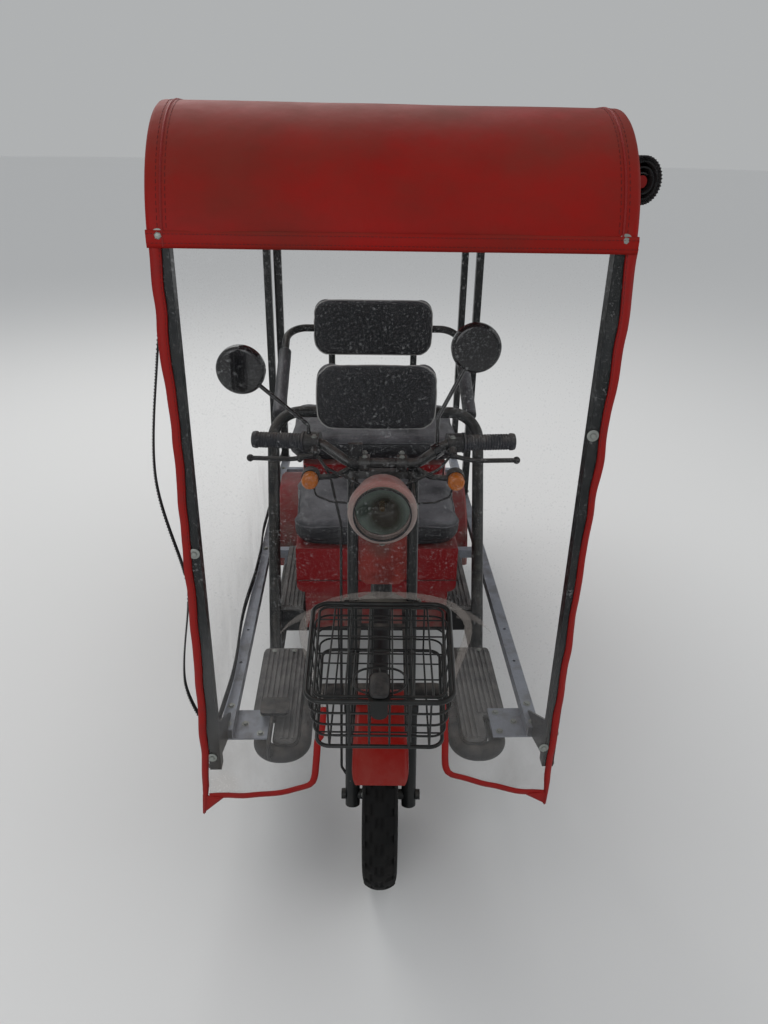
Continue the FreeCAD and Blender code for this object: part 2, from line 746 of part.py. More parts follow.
def basket():
    """A tapered wire basket: rings round it, and wires that run down one wall, along the floor and up."""
    t, y1, y0 = basket_taper, basket_rear_y, basket_rear_y - basket_length
    z1, z0 = basket_rim_z, basket_floor_z()
    rods = [basket_ring(0, rim_wire), basket_ring(1, floor_wire)]
    rods += [basket_ring(share, ring_wire) for share in wall_rings]
    for x, radius in lengthwise_wires:
        for side in (x, -x):
            points = [(side, y1, z1), (side, y1 - t / 3, z0), (side, y0 + t, z0), (side, y0, z1)]
            rods.append(kinked_wire(points, radius))
    for i in range(1, cross_wires + 1):
        share = i / (cross_wires + 1)
        y = y1 - basket_length * share
        half = basket_rear_half + (basket_front_half - basket_rear_half) * share
        points = [(-half, y, z1), (-half + t, y, z0), (half - t, y, z0), (half, y, z1)]
        rods.append(kinked_wire(points, cross_wire))
    return {"basket": [rods[0].multiFuse(rods[1:])], "basket_lid": [basket_lid()]}


def basket_lid():
    """The grid lid inside the basket's rim, with eyes round the rear rim wire and a latch over the front."""
    y1, y0, z = basket_rear_y - lid_inset, basket_rear_y - basket_length + lid_inset, basket_rim_z
    rear, front = basket_rear_half - lid_inset, basket_front_half - lid_inset
    corners = [(-rear, y1, z), (rear, y1, z), (front, y0, z), (-front, y0, z)]
    rods = [closed_wire(outline_face(corners, [basket_corner - lid_inset] * 4).OuterWire, lid_wire)]
    for x in lid_wire_x:
        for side in (x, -x):
            rods.append(rod((side, y1, z), (side, y0, z), mesh_wire))
    for share in lid_cross_wires:
        y = y1 + (y0 - y1) * share
        half = rear + (front - rear) * share
        rods.append(rod((-half, y, z), (half, y, z), cross_wire))
    rods.append(rod((0, y0 + loop_length, z), (0, y0, z), mesh_wire))
    loop = [(-loop_half, y0 + loop_length, z), (loop_half, y0 + loop_length, z), (loop_half, y0 + 9, z),
            (-loop_half, y0 + 9, z)]
    rods.append(closed_wire(outline_face(loop, [loop_length / 2 - 8] * 4).OuterWire, ring_wire))
    lid = rods[0].multiFuse(rods[1:])
    eyes = []
    for x in (-eye_x, eye_x):
        eye = rod((x - 5, basket_rear_y, z), (x + 5, basket_rear_y, z), rim_wire + 3)
        strap = box(x - 4, x + 4, y1 - 2, basket_rear_y, z - 2, z + 2)
        bore = rod((x - 9, basket_rear_y, z), (x + 9, basket_rear_y, z), rim_wire + seat_gap)
        eyes.append(eye.fuse(strap).cut(bore))
    w, lip = latch_half, basket_rear_y - basket_length
    low, high = z + rim_wire + 0.7, z + rim_wire + 4.2
    near, far = lip - rim_wire - 4.5, lip - rim_wire - 4.5 + latch_length
    top = outline_face([(-w, near, low), (w, near, low), (w, far, low), (-w, far, low)], [3, 3, 10, 10])
    top = top.extrude(V(0, 0, high - low))
    hang = latch_half - 4
    foot = z - latch_drop + rim_wire
    tongue = outline_face([(-hang, near, high), (hang, near, high), (hang, near, foot), (-hang, near, foot)],
                          [0, 0, hang - 1, hang - 1]).extrude(V(0, 3, 0))
    saddle = box(-8, 8, y0 - 1, far - 12, z, low + 1)
    return lid.multiFuse(eyes + [top, tongue, saddle])


def chassis():
    """Welded tube frame: head tube and spine, tubes round the footboards, and the rear frame."""
    head = steered(rod((0, 0, crown_low + crown_thick + run_gap), (0, 0, crown_high - run_gap), head_radius))
    bore = steered(rod((0, 0, crown_low), (0, 0, crown_high + 20), stem_radius + stem_play))
    z, side = frame_z, side_outer_x
    top, low = steer_point(0, 4, crown_low + 150), steer_point(0, 6, crown_low + 100)
    spine = bent_tube([(0, top.y, top.z), (0, spine_front_y, z), (0, spine_end_y, z)], spine_bend, spine_radius)
    brace = rod((0, low.y, low.z), (0, spine_front_y - 28, z + 150), brace_radius)
    spine = head.multiFuse([spine, brace]).cut(bore)
    sides = []
    for s in (1, -1):
        points = [(s * 20, spine_front_y - 10, z), (s * side_inner_x, spine_front_y - 10, z),
                  (s * side_inner_x, side_front_y, z), (s * side, side_front_y, z), (s * side, side_end_y, z)]
        sides.append(bent_tube(points, side_bend, side_radius))
    crosses = [rod((-side, y, z), (side, y, z), cross_radius) for y in cross_y]
    floor_frame = sides[0].multiFuse([sides[1]] + crosses).cut(spine)
    floor_frame = Part.makeCompound([p for p in floor_frame.Solids if p.Volume > 1e5])
    rails = []
    for x in (rear_rail_x, -rear_rail_x):
        points = [(x, 176, z), (x, 306, z), (x, 352, rear_frame_z), (x, frame_end_y, rear_frame_z)]
        rails.append(bent_tube(points, 40, cross_radius))
    tie_at = (rear_axle_y - spring_half + 6, rear_axle_y + spring_half - 6, frame_end_y - 30)
    ties = [rod((-rear_rail_x, y, rear_frame_z), (rear_rail_x, y, rear_frame_z), cross_radius - 2)
            for y in tie_at]
    rear = rails[0].multiFuse([rails[1]] + ties).cut(floor_frame)
    rear = Part.makeCompound([p for p in rear.Solids if p.Volume > 1e5])
    b = bumper_half
    bumper = bent_tube([(-b, bumper_y - 32, bumper_z), (-b + 14, bumper_y, bumper_z),
                        (b - 14, bumper_y, bumper_z), (b, bumper_y - 32, bumper_z)], 26, bumper_radius)
    stubs = [rod((x, frame_end_y - 6, rear_frame_z), (x, bumper_y, bumper_z - 6), 11)
             for x in (rear_rail_x, -rear_rail_x)]
    brackets = []
    for y in (body_y[0] + 200, body_y[1] - 68):
        for s in (-1, 1):
            ends = sorted((s * (rear_rail_x + 6), s * (body_half - shell - seat_gap)))
            brackets.append(box(*ends, y - 12, y + 12, rear_frame_z - 8, rear_frame_z + 8))
    frame = spine.multiFuse([floor_frame, rear, bumper] + stubs + brackets)
    return {"chassis_frame": frame.Solids}


def rear_axle(made):
    """Driven rear axle with its gear case and motor, on two leaf springs."""
    c, y, tube_end = tyre_radius, rear_axle_y, rear_half_track - hub_half - 16
    tube = rod((-tube_end, y, c), (tube_end, y, c), axle_tube_radius)
    case = rod((-gear_case_half, y, c), (gear_case_half, y, c), gear_case_radius)
    motor = rod((gear_case_half, y + 20, c + 6), (motor_end_x, y + 20, c + 6), motor_radius)
    hub_in, hub_out = rear_half_track - hub_half - seat_gap, rear_half_track + hub_half + seat_gap
    ends = []
    for s in (1, -1):
        ends.append(rod((s * (tube_end - 6), y, c), (s * (hub_out + 12), y, c), axle_radius))
        ends.append(rod((s * tube_end, y, c), (s * hub_in, y, c), spacer_radius))
        ends.append(rod((s * hub_out, y, c), (s * (hub_out + 10), y, c), spacer_radius))
    seat_z = c + axle_tube_radius + 5
    pads = [box(x - 25, x + 25, y - 30, y + 30, c - 4, seat_z) for x in (-rear_rail_x, rear_rail_x)]
    axle = tube.multiFuse([case, motor] + ends + pads)
    springs = []
    low, high, half, thick = seat_z + seat_gap, spring_end_z, spring_half, spring_thick
    for x in (-rear_rail_x, rear_rail_x):
        under = Part.Arc(V(x, y - half, high), V(x, y, low), V(x, y + half, high)).toShape()
        rise, tip = high + 12, half - 6
        over = Part.Arc(V(x, y - tip, rise), V(x, y, low + thick), V(x, y + tip, rise)).toShape()
        side_a = Part.LineSegment(V(x, y - half, high), V(x, y - tip, rise)).toShape()
        side_b = Part.LineSegment(V(x, y + half, high), V(x, y + tip, rise)).toShape()
        leaf = Part.Face(Part.Wire(Part.__sortEdges__([under, side_b, over, side_a])))
        leaf = leaf.extrude(V(2 * leaf_half_width, 0, 0))
        leaf.translate(V(-leaf_half_width, 0, 0))
        hangers = []
        for s in (-1, 1):
            at = y + s * (half - 12)
            hangers.append(box(x - 12, x + 12, at - 8, at + 8, high, rear_frame_z))
        spring = leaf.multiFuse(hangers).cut(Part.makeCompound(made["chassis_frame"])).cut(axle)
        springs.append(largest(spring))
    return {"rear_axle": [axle], "leaf_springs": springs}


def ribbed_mat(plate, x0, x1, y_front, y1, z, pitch):
    """A rubber mat of the plate's outline with lengthwise ribs. y_front gives a rib's front end from its x."""
    slab = [plate.extrude(V(0, 0, mat_thick))]
    count = int((x1 - x0 - 8) // pitch)
    start = (x0 + x1) / 2 - (count - 1) * pitch / 2
    top = z + mat_thick
    for i in range(count):
        x = start + i * pitch
        slab.append(box(x - pitch / 4, x + pitch / 4, y_front(x) + 6, y1 - 6, top - 1, top + rib_height))
    return slab[0].multiFuse(slab[1:]).removeSplitter()


def board_outline(inset, z):
    """The driver's footboard seen from above: its front outer corner is cut back."""
    x0, x1, xn = board_inner_x + inset, board_outer_x - inset, board_notch_x - inset
    y0, y1, yn = board_front_y + inset, board_rear_y - inset, board_notch_y + inset
    points = [(x0, y1, z), (x1, y1, z), (x1, yn, z), (xn, yn, z), (xn, y0, z), (x0, y0, z)]
    return outline_face(points, [12, 12, 22, 12, 20, 20])


def floors(made):
    """Driver's footboards and the passenger's foot platforms, each under a ribbed mat, and the foot brake."""
    board = board_outline(0, floor_z - plate_thick).extrude(V(0, 0, plate_thick))
    mat_z, m = floor_z + seat_gap, mat_inset

    def mat_front(x):
        return board_front_y + m if x < board_notch_x - m - 10 else board_notch_y + m

    mat = ribbed_mat(board_outline(m, mat_z), board_inner_x + m, board_outer_x - m, mat_front,
                     board_rear_y - m, mat_z, 13)
    px0, px1 = base_low_half + platform_clear, side_outer_x - platform_clear
    py0, py1 = platform_y
    foot, top = frame_z + side_radius, platform_top + seat_gap
    tray = box(px0, px1, py0, py1, foot, platform_top)
    tray = tray.cut(box(px0 + shell, px1 - shell, py0 + shell, py1 - shell, foot - 1, platform_top - shell))
    plate = outline_face([(px0 + 3, py0 + 3, top), (px1 - 3, py0 + 3, top), (px1 - 3, py1 - 3, top),
                          (px0 + 3, py1 - 3, top)])
    step_mat = ribbed_mat(plate, px0 + 3, px1 - 3, lambda x: py0 + 3, py1 - 3, top, 12)
    x, z, ahead = pedal_x[0] + 30, pedal_z - 3, side_front_y - 28
    arm = bent_tube([(x, side_front_y - 8, frame_z + 6), (x, ahead, frame_z + 16), (x, ahead, z),
                     (x, pedal_y[0] + 20, z)], [8, 14], 5)
    pedal = box(*pedal_x, *pedal_y, pedal_z, pedal_z + 8)
    pedal = eased(pedal, 12, lambda p: abs(p.z - pedal_z - 4) < 0.1)
    pedal = largest(arm.fuse(pedal).cut(Part.makeCompound(made["chassis_frame"])))
    return {"floor_plates": both(board) + both(tray), "floor_mats": both(mat) + both(step_mat),
            "brake_pedal": [pedal]}


def seat_base(made):
    """The red box under the driver's seat: a narrower lower part, open below, and a rounded upper part."""
    foot = frame_z + cross_radius
    y0, y1, lip = base_front_y, base_rear_y, base_front_y - base_lip
    h, low, step, top, t = base_half, base_low_half, base_step_z, base_top_z, shell
    lower = box(-low, low, y0, y1, foot, step)
    upper = outline_face([(-h, lip, step - 1), (h, lip, step - 1), (h, lip, top), (-h, lip, top)],
                         [base_round, base_round, 2, 2]).extrude(V(0, y1 - lip, 0))
    low_in = box(-low + t, low - t, y0 + t, y1 - t, foot - 1, top - t)
    high_in = box(-h + t, h - t, lip + t, y1 - t, step + base_round, top - t)
    base = lower.fuse(upper).cut(low_in.fuse(high_in)).cut(Part.makeCompound(made["chassis_frame"]))
    return largest(base)


def battery_pack(made, base):
    """The battery on its tray in the seat base, standing on two cross tubes."""
    foot = frame_z + cross_radius
    tray_z = foot + 7
    low_y, high_y = base_front_y + 10, base_rear_y - 23
    battery = box(-battery_half, battery_half, *battery_y, tray_z + 5, tray_z + 5 + battery_height)
    tray = box(-base_low_half + 12, base_low_half - 12, low_y, high_y, tray_z, tray_z + 5)
    stands = [box(x - 12, x + 12, y - 10, y + 10, frame_z + 8, tray_z) for x in (-130, 130) for y in cross_y[:2]]
    pack = battery.multiFuse([tray.cut(base)] + stands)
    return largest(pack.cut(Part.makeCompound(made["chassis_frame"])))


def back_pad(half, heights, rear_y):
    """A back cushion whose rear face lies at rear_y."""
    z0, z1 = heights
    face = outline_face([(-half, 0, z0), (half, 0, z0), (half, 0, z1), (-half, 0, z1)], [pad_corner] * 4)
    pad = face.extrude(V(0, pad_thick, 0))
    pad.translate(V(0, rear_y - pad_thick, 0))
    return eased(pad, 14, lambda m: m.y < rear_y - pad_thick + 0.5)


def seats(made):
    """Seat base with its battery, driver's seat, passenger's body and bench, backs, hoop and arm rail."""
    frame = Part.makeCompound(made["chassis_frame"])
    base = seat_base(made)
    low, top = base_top_z + seat_gap, base_top_z + seat_gap + driver_seat_thick
    cushion = rounded_block(driver_seat_half, *driver_seat_y, low, top, 60, driver_seat_half - 14)
    cushion = eased(cushion, 26, lambda m: m.z > top - 1)
    body_top, bench_top = body_top_z + seat_gap, body_top_z + seat_gap + bench_thick
    bench = rounded_block(bench_half, *bench_y, body_top, bench_top, 50)
    bench = eased(bench, 24, lambda m: m.z > bench_top - 1)
    y0, y1, t = *body_y, shell
    trunk = rounded_block(body_half, y0, y1, body_low_z, body_top_z, 24)
    inside = box(-body_half + t, body_half - t, y0 + t, y1 - t, body_low_z - 1, body_top_z - t)
    trunk = largest(trunk.cut(inside).cut(frame))
    foot = (side_outer_x, hoop_foot_y, frame_z + 4)
    corner = (hoop_half, hoop_y, hoop_z)
    hoop = bent_tube([foot, corner, (-corner[0], *corner[1:]), (-foot[0], *foot[1:])], hoop_bend, hoop_radius)
    hoop = largest(hoop.cut(frame))
    driver_back = back_pad(driver_pad_half, driver_pad_z, hoop_y - hoop_radius - seat_gap)
    end, corner = (rail_half, rail_front_y, rail_front_z), (rail_half, rail_y, rail_z)
    rail = bent_tube([end, corner, (-corner[0], *corner[1:]), (-end[0], *end[1:])], 70, rail_radius)
    stands = []
    for x in (-rail_stand_x, rail_stand_x):
        stands.append(rod((x, rail_y, body_top), (x, rail_y, rail_z), rail_radius - 1))
        stands.append(box(x - 28, x + 28, rail_y - 28, rail_y + 28, body_top, body_top + 6))
    rail = rail.multiFuse(stands)
    run = (V(*corner) - V(*end)).normalize()
    rests = []
    for s in (-1, 1):
        start = V(s * rail_half, rail_front_y, rail_front_z)
        rests.append(largest(rod(start - run * 8, start + run * rest_length, rest_radius).cut(rail)))
    passenger_back = back_pad(passenger_pad_half, passenger_pad_z, rail_y - rail_radius - seat_gap)
    return {"seat_base": [base], "battery_pack": [battery_pack(made, base)],
            "driver_cushions": [cushion, driver_back], "passenger_cushions": [bench, passenger_back],
            "passenger_body": [trunk], "driver_hoop": [hoop], "arm_rail": [rail], "arm_rests": rests}


def rear_fittings():
    """Rear fenders and tail lamps."""
    r, t = tyre_radius + rear_fender_gap, fender_thick
    x0, x1 = body_half + seat_gap, rear_half_track + rear_fender_out
    section = [(x0, r - 16), (x0, r + t), (x1 - 8, r + t), (x1, r - 4), (x1, r - 26), (x1 - t, r - 26),
               (x1 - t, r - 5), (x1 - 9, r), (x0 + t, r), (x0 + t, r - 16)]
    middle = V(0, rear_axle_y, tyre_radius)
    profile = [(x, rear_axle_y + d, tyre_radius) for x, d in section]
    guard = revolved(profile, middle, X_AXIS, rear_fender_sweep)
    guard.rotate(middle, X_AXIS, -6)
    end = body_y[1] + tail_lamp_depth
    lamp = box(*tail_lamp_x, body_y[1] + seat_gap, end, *tail_lamp_z)
    lamp = eased(lamp, 8, lambda m: m.y > end - 1)
    return {"rear_fenders": both(guard), "tail_lamps": both(lamp)}


def base_frame(made):
    """Galvanised rails along both sides with two cross members, plates and blocks that rest on the chassis."""
    x, b, w = canopy_half, base_rail / 2, base_rail_wall
    low, high = base_rail_z, base_rail_z + base_rail
    y0, y1 = base_rail_y
    rail = box(x - b, x + b, y0, y1, low, high)
    rail = rail.cut(box(x - b + w, x + b - w, y0 - 1, y1 + 1, low + w, high - w))
    for y in hole_y:
        rail = rail.cut(rod((x, y, low - 1), (x, y, high + 1), hole_radius))
    rails = both(rail)
    members = [box(-x + b - 1, x - b + 1, y, y + post, low, high) for y in member_y]
    under = frame_z
    plate = box(front_plate_x, x + b, *front_plate_y, low - plate_thick, low + 0.01)
    block = box(side_outer_x - 14, side_outer_x + 14, front_plate_y[0] + 48, front_plate_y[0] + 80,
                under, low - plate_thick + 1)
    middle = box(side_outer_x - 14, side_outer_x + 14, member_y[0] + 1, member_y[0] + post - 1, under, low + 1)
    rear = box(rear_rail_x - 12, rear_rail_x + 12, member_y[1] + 1, member_y[1] + post - 1,
               high - 1, rear_frame_z)
    pieces = [plate, block, middle, rear]
    base = rails[0].multiFuse([rails[1]] + members + pieces + [mirrored(p) for p in pieces])
    return base.cut(Part.makeCompound(made["chassis_frame"])).Solids


def canopy(made):
    """Square-tube canopy: bolted base rails, three posts a side, roof rails and bows."""
    x, h, y = canopy_half, post / 2, post_front_y
    foot = base_rail_z + base_rail + seat_gap
    rail_end = base_rail_y[0] - seat_gap
    near, thick = y + h - 1, gusset_thick
    gusset = outline_face([(x - thick / 2, near, post_foot_z), (x - thick / 2, rail_end, base_rail_z + 2),
                           (x - thick / 2, rail_end, foot), (x - thick / 2, base_rail_y[0] + 60, foot),
                           (x - thick / 2, near, gusset_top_z)]).extrude(V(thick, 0, 0))
    z = roof_top_z - cloth - seat_gap - h
    front = bent_square([(x, y, post_foot_z), (x, y, z), (x, bend_end_y, z)], roof_bend, post)
    top = box(x - h, x + h, bend_end_y + seat_gap, post_rear_y - h - seat_gap, z - h, z + h)
    rear = box(x - h, x + h, post_rear_y - h, post_rear_y + h, foot, z + h)
    mid = box(x - h, x + h, post_mid_y - h, post_mid_y + h, foot, z - h - seat_gap)
    span = x - h - seat_gap
    bows = [box(-span, span, at - bow_side / 2, at + bow_side / 2, z + h - bow_side, z + h) for at in bow_y]
    front_bar = box(-span, span, y - h, y + h - 5, hem_z - 8 - bow_side, hem_z - 8)
    rear_bar = box(-span, span, post_rear_y - h + 5, post_rear_y + h, rear_hem_z + 6, rear_hem_z + 6 + bow_side)
    return {"base_frame": base_frame(made), "front_posts": both(front.fuse(gusset)),
            "rear_posts": both(rear) + both(mid), "roof_frame": both(top) + bows + [front_bar, rear_bar]}


def roof_cover():
    """The vinyl over the roof, down the front and the rear, with a narrow fall along each side."""
    y0, y1, top, bend = roof_front_y, roof_rear_y, roof_top_z, roof_bend + 6
    t = cloth
    outer = path([(0, y0, hem_z), (0, y0, top), (0, y1, top), (0, y1, rear_hem_z)], [bend, rear_bend])
    inner = path([(0, y0 + t, hem_z), (0, y0 + t, top - t), (0, y1 - t, top - t), (0, y1 - t, rear_hem_z)],
                 [bend - t, rear_bend - t])
    caps = [Part.LineSegment(V(0, y0, hem_z), V(0, y0 + t, hem_z)).toShape(),
            Part.LineSegment(V(0, y1, rear_hem_z), V(0, y1 - t, rear_hem_z)).toShape()]
    band = Part.Face(Part.Wire(Part.__sortEdges__(outer.Edges + inner.Edges + caps)))
    cover = band.extrude(V(2 * roof_half, 0, 0))
    cover.translate(V(-roof_half, 0, 0))
    side = outline_face([(0, y0, hem_z), (0, y0, top), (0, y1, top), (0, y1, rear_hem_z),
                         (0, y1 - 40, rear_hem_z), (0, y1 - 40, valance_z), (0, y0 + 120, valance_z),
                         (0, y0 + 26, hem_z)], [0, bend, rear_bend, 0, 0, 20, 60, 0]).extrude(V(t, 0, 0))
    side.translate(V(roof_half - t, 0, 0))
    return cover.multiFuse([side, mirrored(side)]).removeSplitter()


def screen():
    """The clear front sheet with its tall cut-out for the wheel, the fork and the basket."""
    y = post_front_y - post / 2 - seat_gap
    s, f = screen_half, screen_foot_z
    right = [(s, hem_z + 12), (s, f - screen_edge_rise), (s - 44, f)] + list(cutout_right)
    points = right + [(-x, z) for x, z in reversed(right)]
    bends = [0, 0, 0] + list(cutout_bends)
    face = outline_face([(x, y, z) for x, z in points], bends + bends[::-1])
    return face.extrude(V(0, -screen_thick, 0))


def side_curtains():
    """The rolled curtain on the left, and the hanging one on the right with its loose zip tape."""
    out = canopy_half + post / 2 + seat_gap
    cx = out + roll_half_width
    y0, y1 = roll_y
    edge = Part.Ellipse(V(cx, y0, roll_z + roll_half_height), V(cx + roll_half_width, y0, roll_z),
                        V(cx, y0, roll_z))
    roll = Part.Face(Part.Wire(edge.toShape())).extrude(V(0, y1 - y0, 0))
    y0, y1 = curtain_y
    face = outline_face([(-out, y0, curtain_foot_z), (-out, y0, curtain_top_z), (-out, y1, curtain_top_z),
                         (-out, y1, curtain_foot_z)], [0, curtain_bend, 0, 0])
    sheet = face.extrude(V(-curtain_thick, 0, 0))
    outside = out + curtain_thick + seat_gap + tape_thick / 2
    points = [(-outside - bulge, tape_y, z) for bulge, z in tape_rows]
    tape = bent_bar(points, tape_bend, Y_AXIS, tape_wide, tape_thick)
    return {"curtain_roll": [roll], "hanging_curtain": [sheet, tape]}


def turn_steering(made):
    """Turns every piece of the steering to its parked place."""
    for name in steering_nodes:
        made[name] = [parked(solid) for solid in made[name]]


def write_parts(nodes):
    """One STEP file for each node."""
    os.makedirs("parts", exist_ok=True)
    for name, solids in sorted(nodes.items()):
        shape = solids[0] if len(solids) == 1 else Part.makeCompound(solids)
        shape.exportStep("parts/%s.step" % name)
        print("%-18s solids %2d valid %s cm3 %.0f" % (name, len(shape.Solids), shape.isValid(), shape.Volume / 1000))


NODES = {}
NODES.update(wheels())
NODES.update(fork())
NODES.update(handlebar(NODES))
NODES.update(steering_fittings(NODES))
NODES.update(cables(NODES))
NODES.update(basket())
NODES.update(chassis())
NODES.update(rear_axle(NODES))
NODES.update(floors(NODES))
NODES.update(seats(NODES))
NODES.update(rear_fittings())
NODES.update(canopy(NODES))
NODES["roof_cover"] = [roof_cover()]
NODES["windscreen"] = [screen()]
NODES.update(side_curtains())
turn_steering(NODES)
write_parts(NODES)
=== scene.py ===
"""Looks of the covered three-wheeled passenger tricycle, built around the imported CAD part.

Metres, in the part's own frame: +Z up, +Y to the rear, +X to the vehicle's left. The camera stands where the
photo was taken from, in front of the vehicle and a little above it.
"""

import json
import math

import bpy
from mathutils import Matrix, Vector, noise


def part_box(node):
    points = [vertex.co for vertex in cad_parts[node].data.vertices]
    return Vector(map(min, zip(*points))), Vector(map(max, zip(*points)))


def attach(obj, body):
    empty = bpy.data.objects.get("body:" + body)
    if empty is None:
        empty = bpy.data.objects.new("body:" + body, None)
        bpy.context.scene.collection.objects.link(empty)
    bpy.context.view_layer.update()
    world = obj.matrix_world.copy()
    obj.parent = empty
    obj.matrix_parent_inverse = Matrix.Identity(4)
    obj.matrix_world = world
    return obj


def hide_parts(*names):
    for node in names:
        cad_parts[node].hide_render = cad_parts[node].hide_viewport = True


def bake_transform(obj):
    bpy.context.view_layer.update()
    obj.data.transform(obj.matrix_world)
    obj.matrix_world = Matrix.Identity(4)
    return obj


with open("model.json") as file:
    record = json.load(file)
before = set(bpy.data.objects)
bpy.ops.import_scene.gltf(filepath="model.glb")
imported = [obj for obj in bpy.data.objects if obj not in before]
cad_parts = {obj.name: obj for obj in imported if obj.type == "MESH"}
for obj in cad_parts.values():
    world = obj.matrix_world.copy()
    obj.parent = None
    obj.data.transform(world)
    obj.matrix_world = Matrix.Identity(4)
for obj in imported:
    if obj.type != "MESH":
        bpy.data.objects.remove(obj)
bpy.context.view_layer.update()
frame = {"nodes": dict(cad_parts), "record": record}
NODES = frame["nodes"]

# Places shared with the CAD part
RAKE = math.radians(15.0)
REST_TURN = math.radians(-2.4)
FORK_OFFSET = 0.035
FRONT_AXLE = Vector((0.0, -0.740, 0.205))
STEER_FOOT = FRONT_AXLE + Vector((0.0, FORK_OFFSET / math.cos(RAKE), 0.0))
STEER_UP = Vector((0.0, math.sin(RAKE), math.cos(RAKE)))
# Bodies that turn with the steering
STEERED = ("steering", "lid", "front_wheel")
REAR_AXLE_Y, REAR_WHEEL_X = 0.570, 0.290
TYRE_R, TYRE_HALF, BEAD_R = 0.205, 0.039, 0.128
# Each wheel: its body, tyre node, rim node and middle
WHEELS = {"front": ("front_wheel", "front_tyre", "front_rim", FRONT_AXLE),
          "rear_left": ("rear_wheel_left", "rear_left_tyre", "rear_left_rim",
                        (REAR_WHEEL_X, REAR_AXLE_Y, TYRE_R)),
          "rear_right": ("rear_wheel_right", "rear_right_tyre", "rear_right_rim",
                         (-REAR_WHEEL_X, REAR_AXLE_Y, TYRE_R))}
POST_X, POST_HALF, POST_FRONT, POST_REAR = 0.367, 0.0125, -0.7875, 1.0685
ROOF_TOP, ROOF_FRONT, ROOF_REAR = 1.650, -0.806, 1.106
ROOF_BEND, REAR_BEND, ROOF_HALF = 0.206, 0.026, 0.388
ROOF_BOWS = (-0.62, -0.38, -0.06, 0.26, 0.68, 1.01)
HEM, REAR_HEM, VALANCE = 1.440, 1.300, 1.594
SCREEN_Y, SCREEN_HALF, SCREEN_TOP = -0.8011, 0.383, 1.452
# The cut-out's edge from the foot to its top: distance from the middle, height
CUTOUT = ((0.156, 0.318), (0.152, 0.350), (0.139, 0.420), (0.130, 0.500), (0.134, 0.580), (0.152, 0.660),
          (0.160, 0.705), (0.154, 0.735), (0.128, 0.762), (0.090, 0.778), (0.045, 0.7855), (0.0, 0.787))
RAIL_X, RAIL_TOP = 0.367, 0.333
CURTAIN_X, CURTAIN_FOOT, CURTAIN_TOP = -0.3806, 0.340, 1.614
CURTAIN_Y, CURTAIN_BEND = (-0.770, 1.062), 0.170
# The loose zip tape from top to foot: how far it stands off the curtain, height
LOOSE_TAPE = ((0.002, 1.380), (0.029, 1.250), (0.059, 1.010), (0.024, 0.800), (0.023, 0.733), (0.049, 0.520),
              (0.002, 0.370))
TAPE_Y = -0.722
ROLL_MIDDLE, ROLL_HALF_WIDTH, ROLL_HALF_HEIGHT = Vector((0.4163, 0.0, 1.540)), 0.0365, 0.044
ROLL_Y = (-0.700, 1.050)
LAMP_Y, LAMP_Z = -0.702, 0.925
BAR_END = Vector((0.281, -0.498, 1.002))
BAR_BEND = Vector((0.138, -0.520, 1.006))
LENS_X, LENS_Y, LENS_Z = 0.152, -0.606, 0.957
X, Y, Z = Vector((1, 0, 0)), Vector((0, 1, 0)), Vector((0, 0, 1))


def parked_point(x, y, z):
    """Where a point of the straight steering lies with the steering parked."""
    turn = Matrix.Rotation(REST_TURN, 3, STEER_UP)
    return turn @ (Vector((x, y, z)) - STEER_FOOT) + STEER_FOOT


# Materials

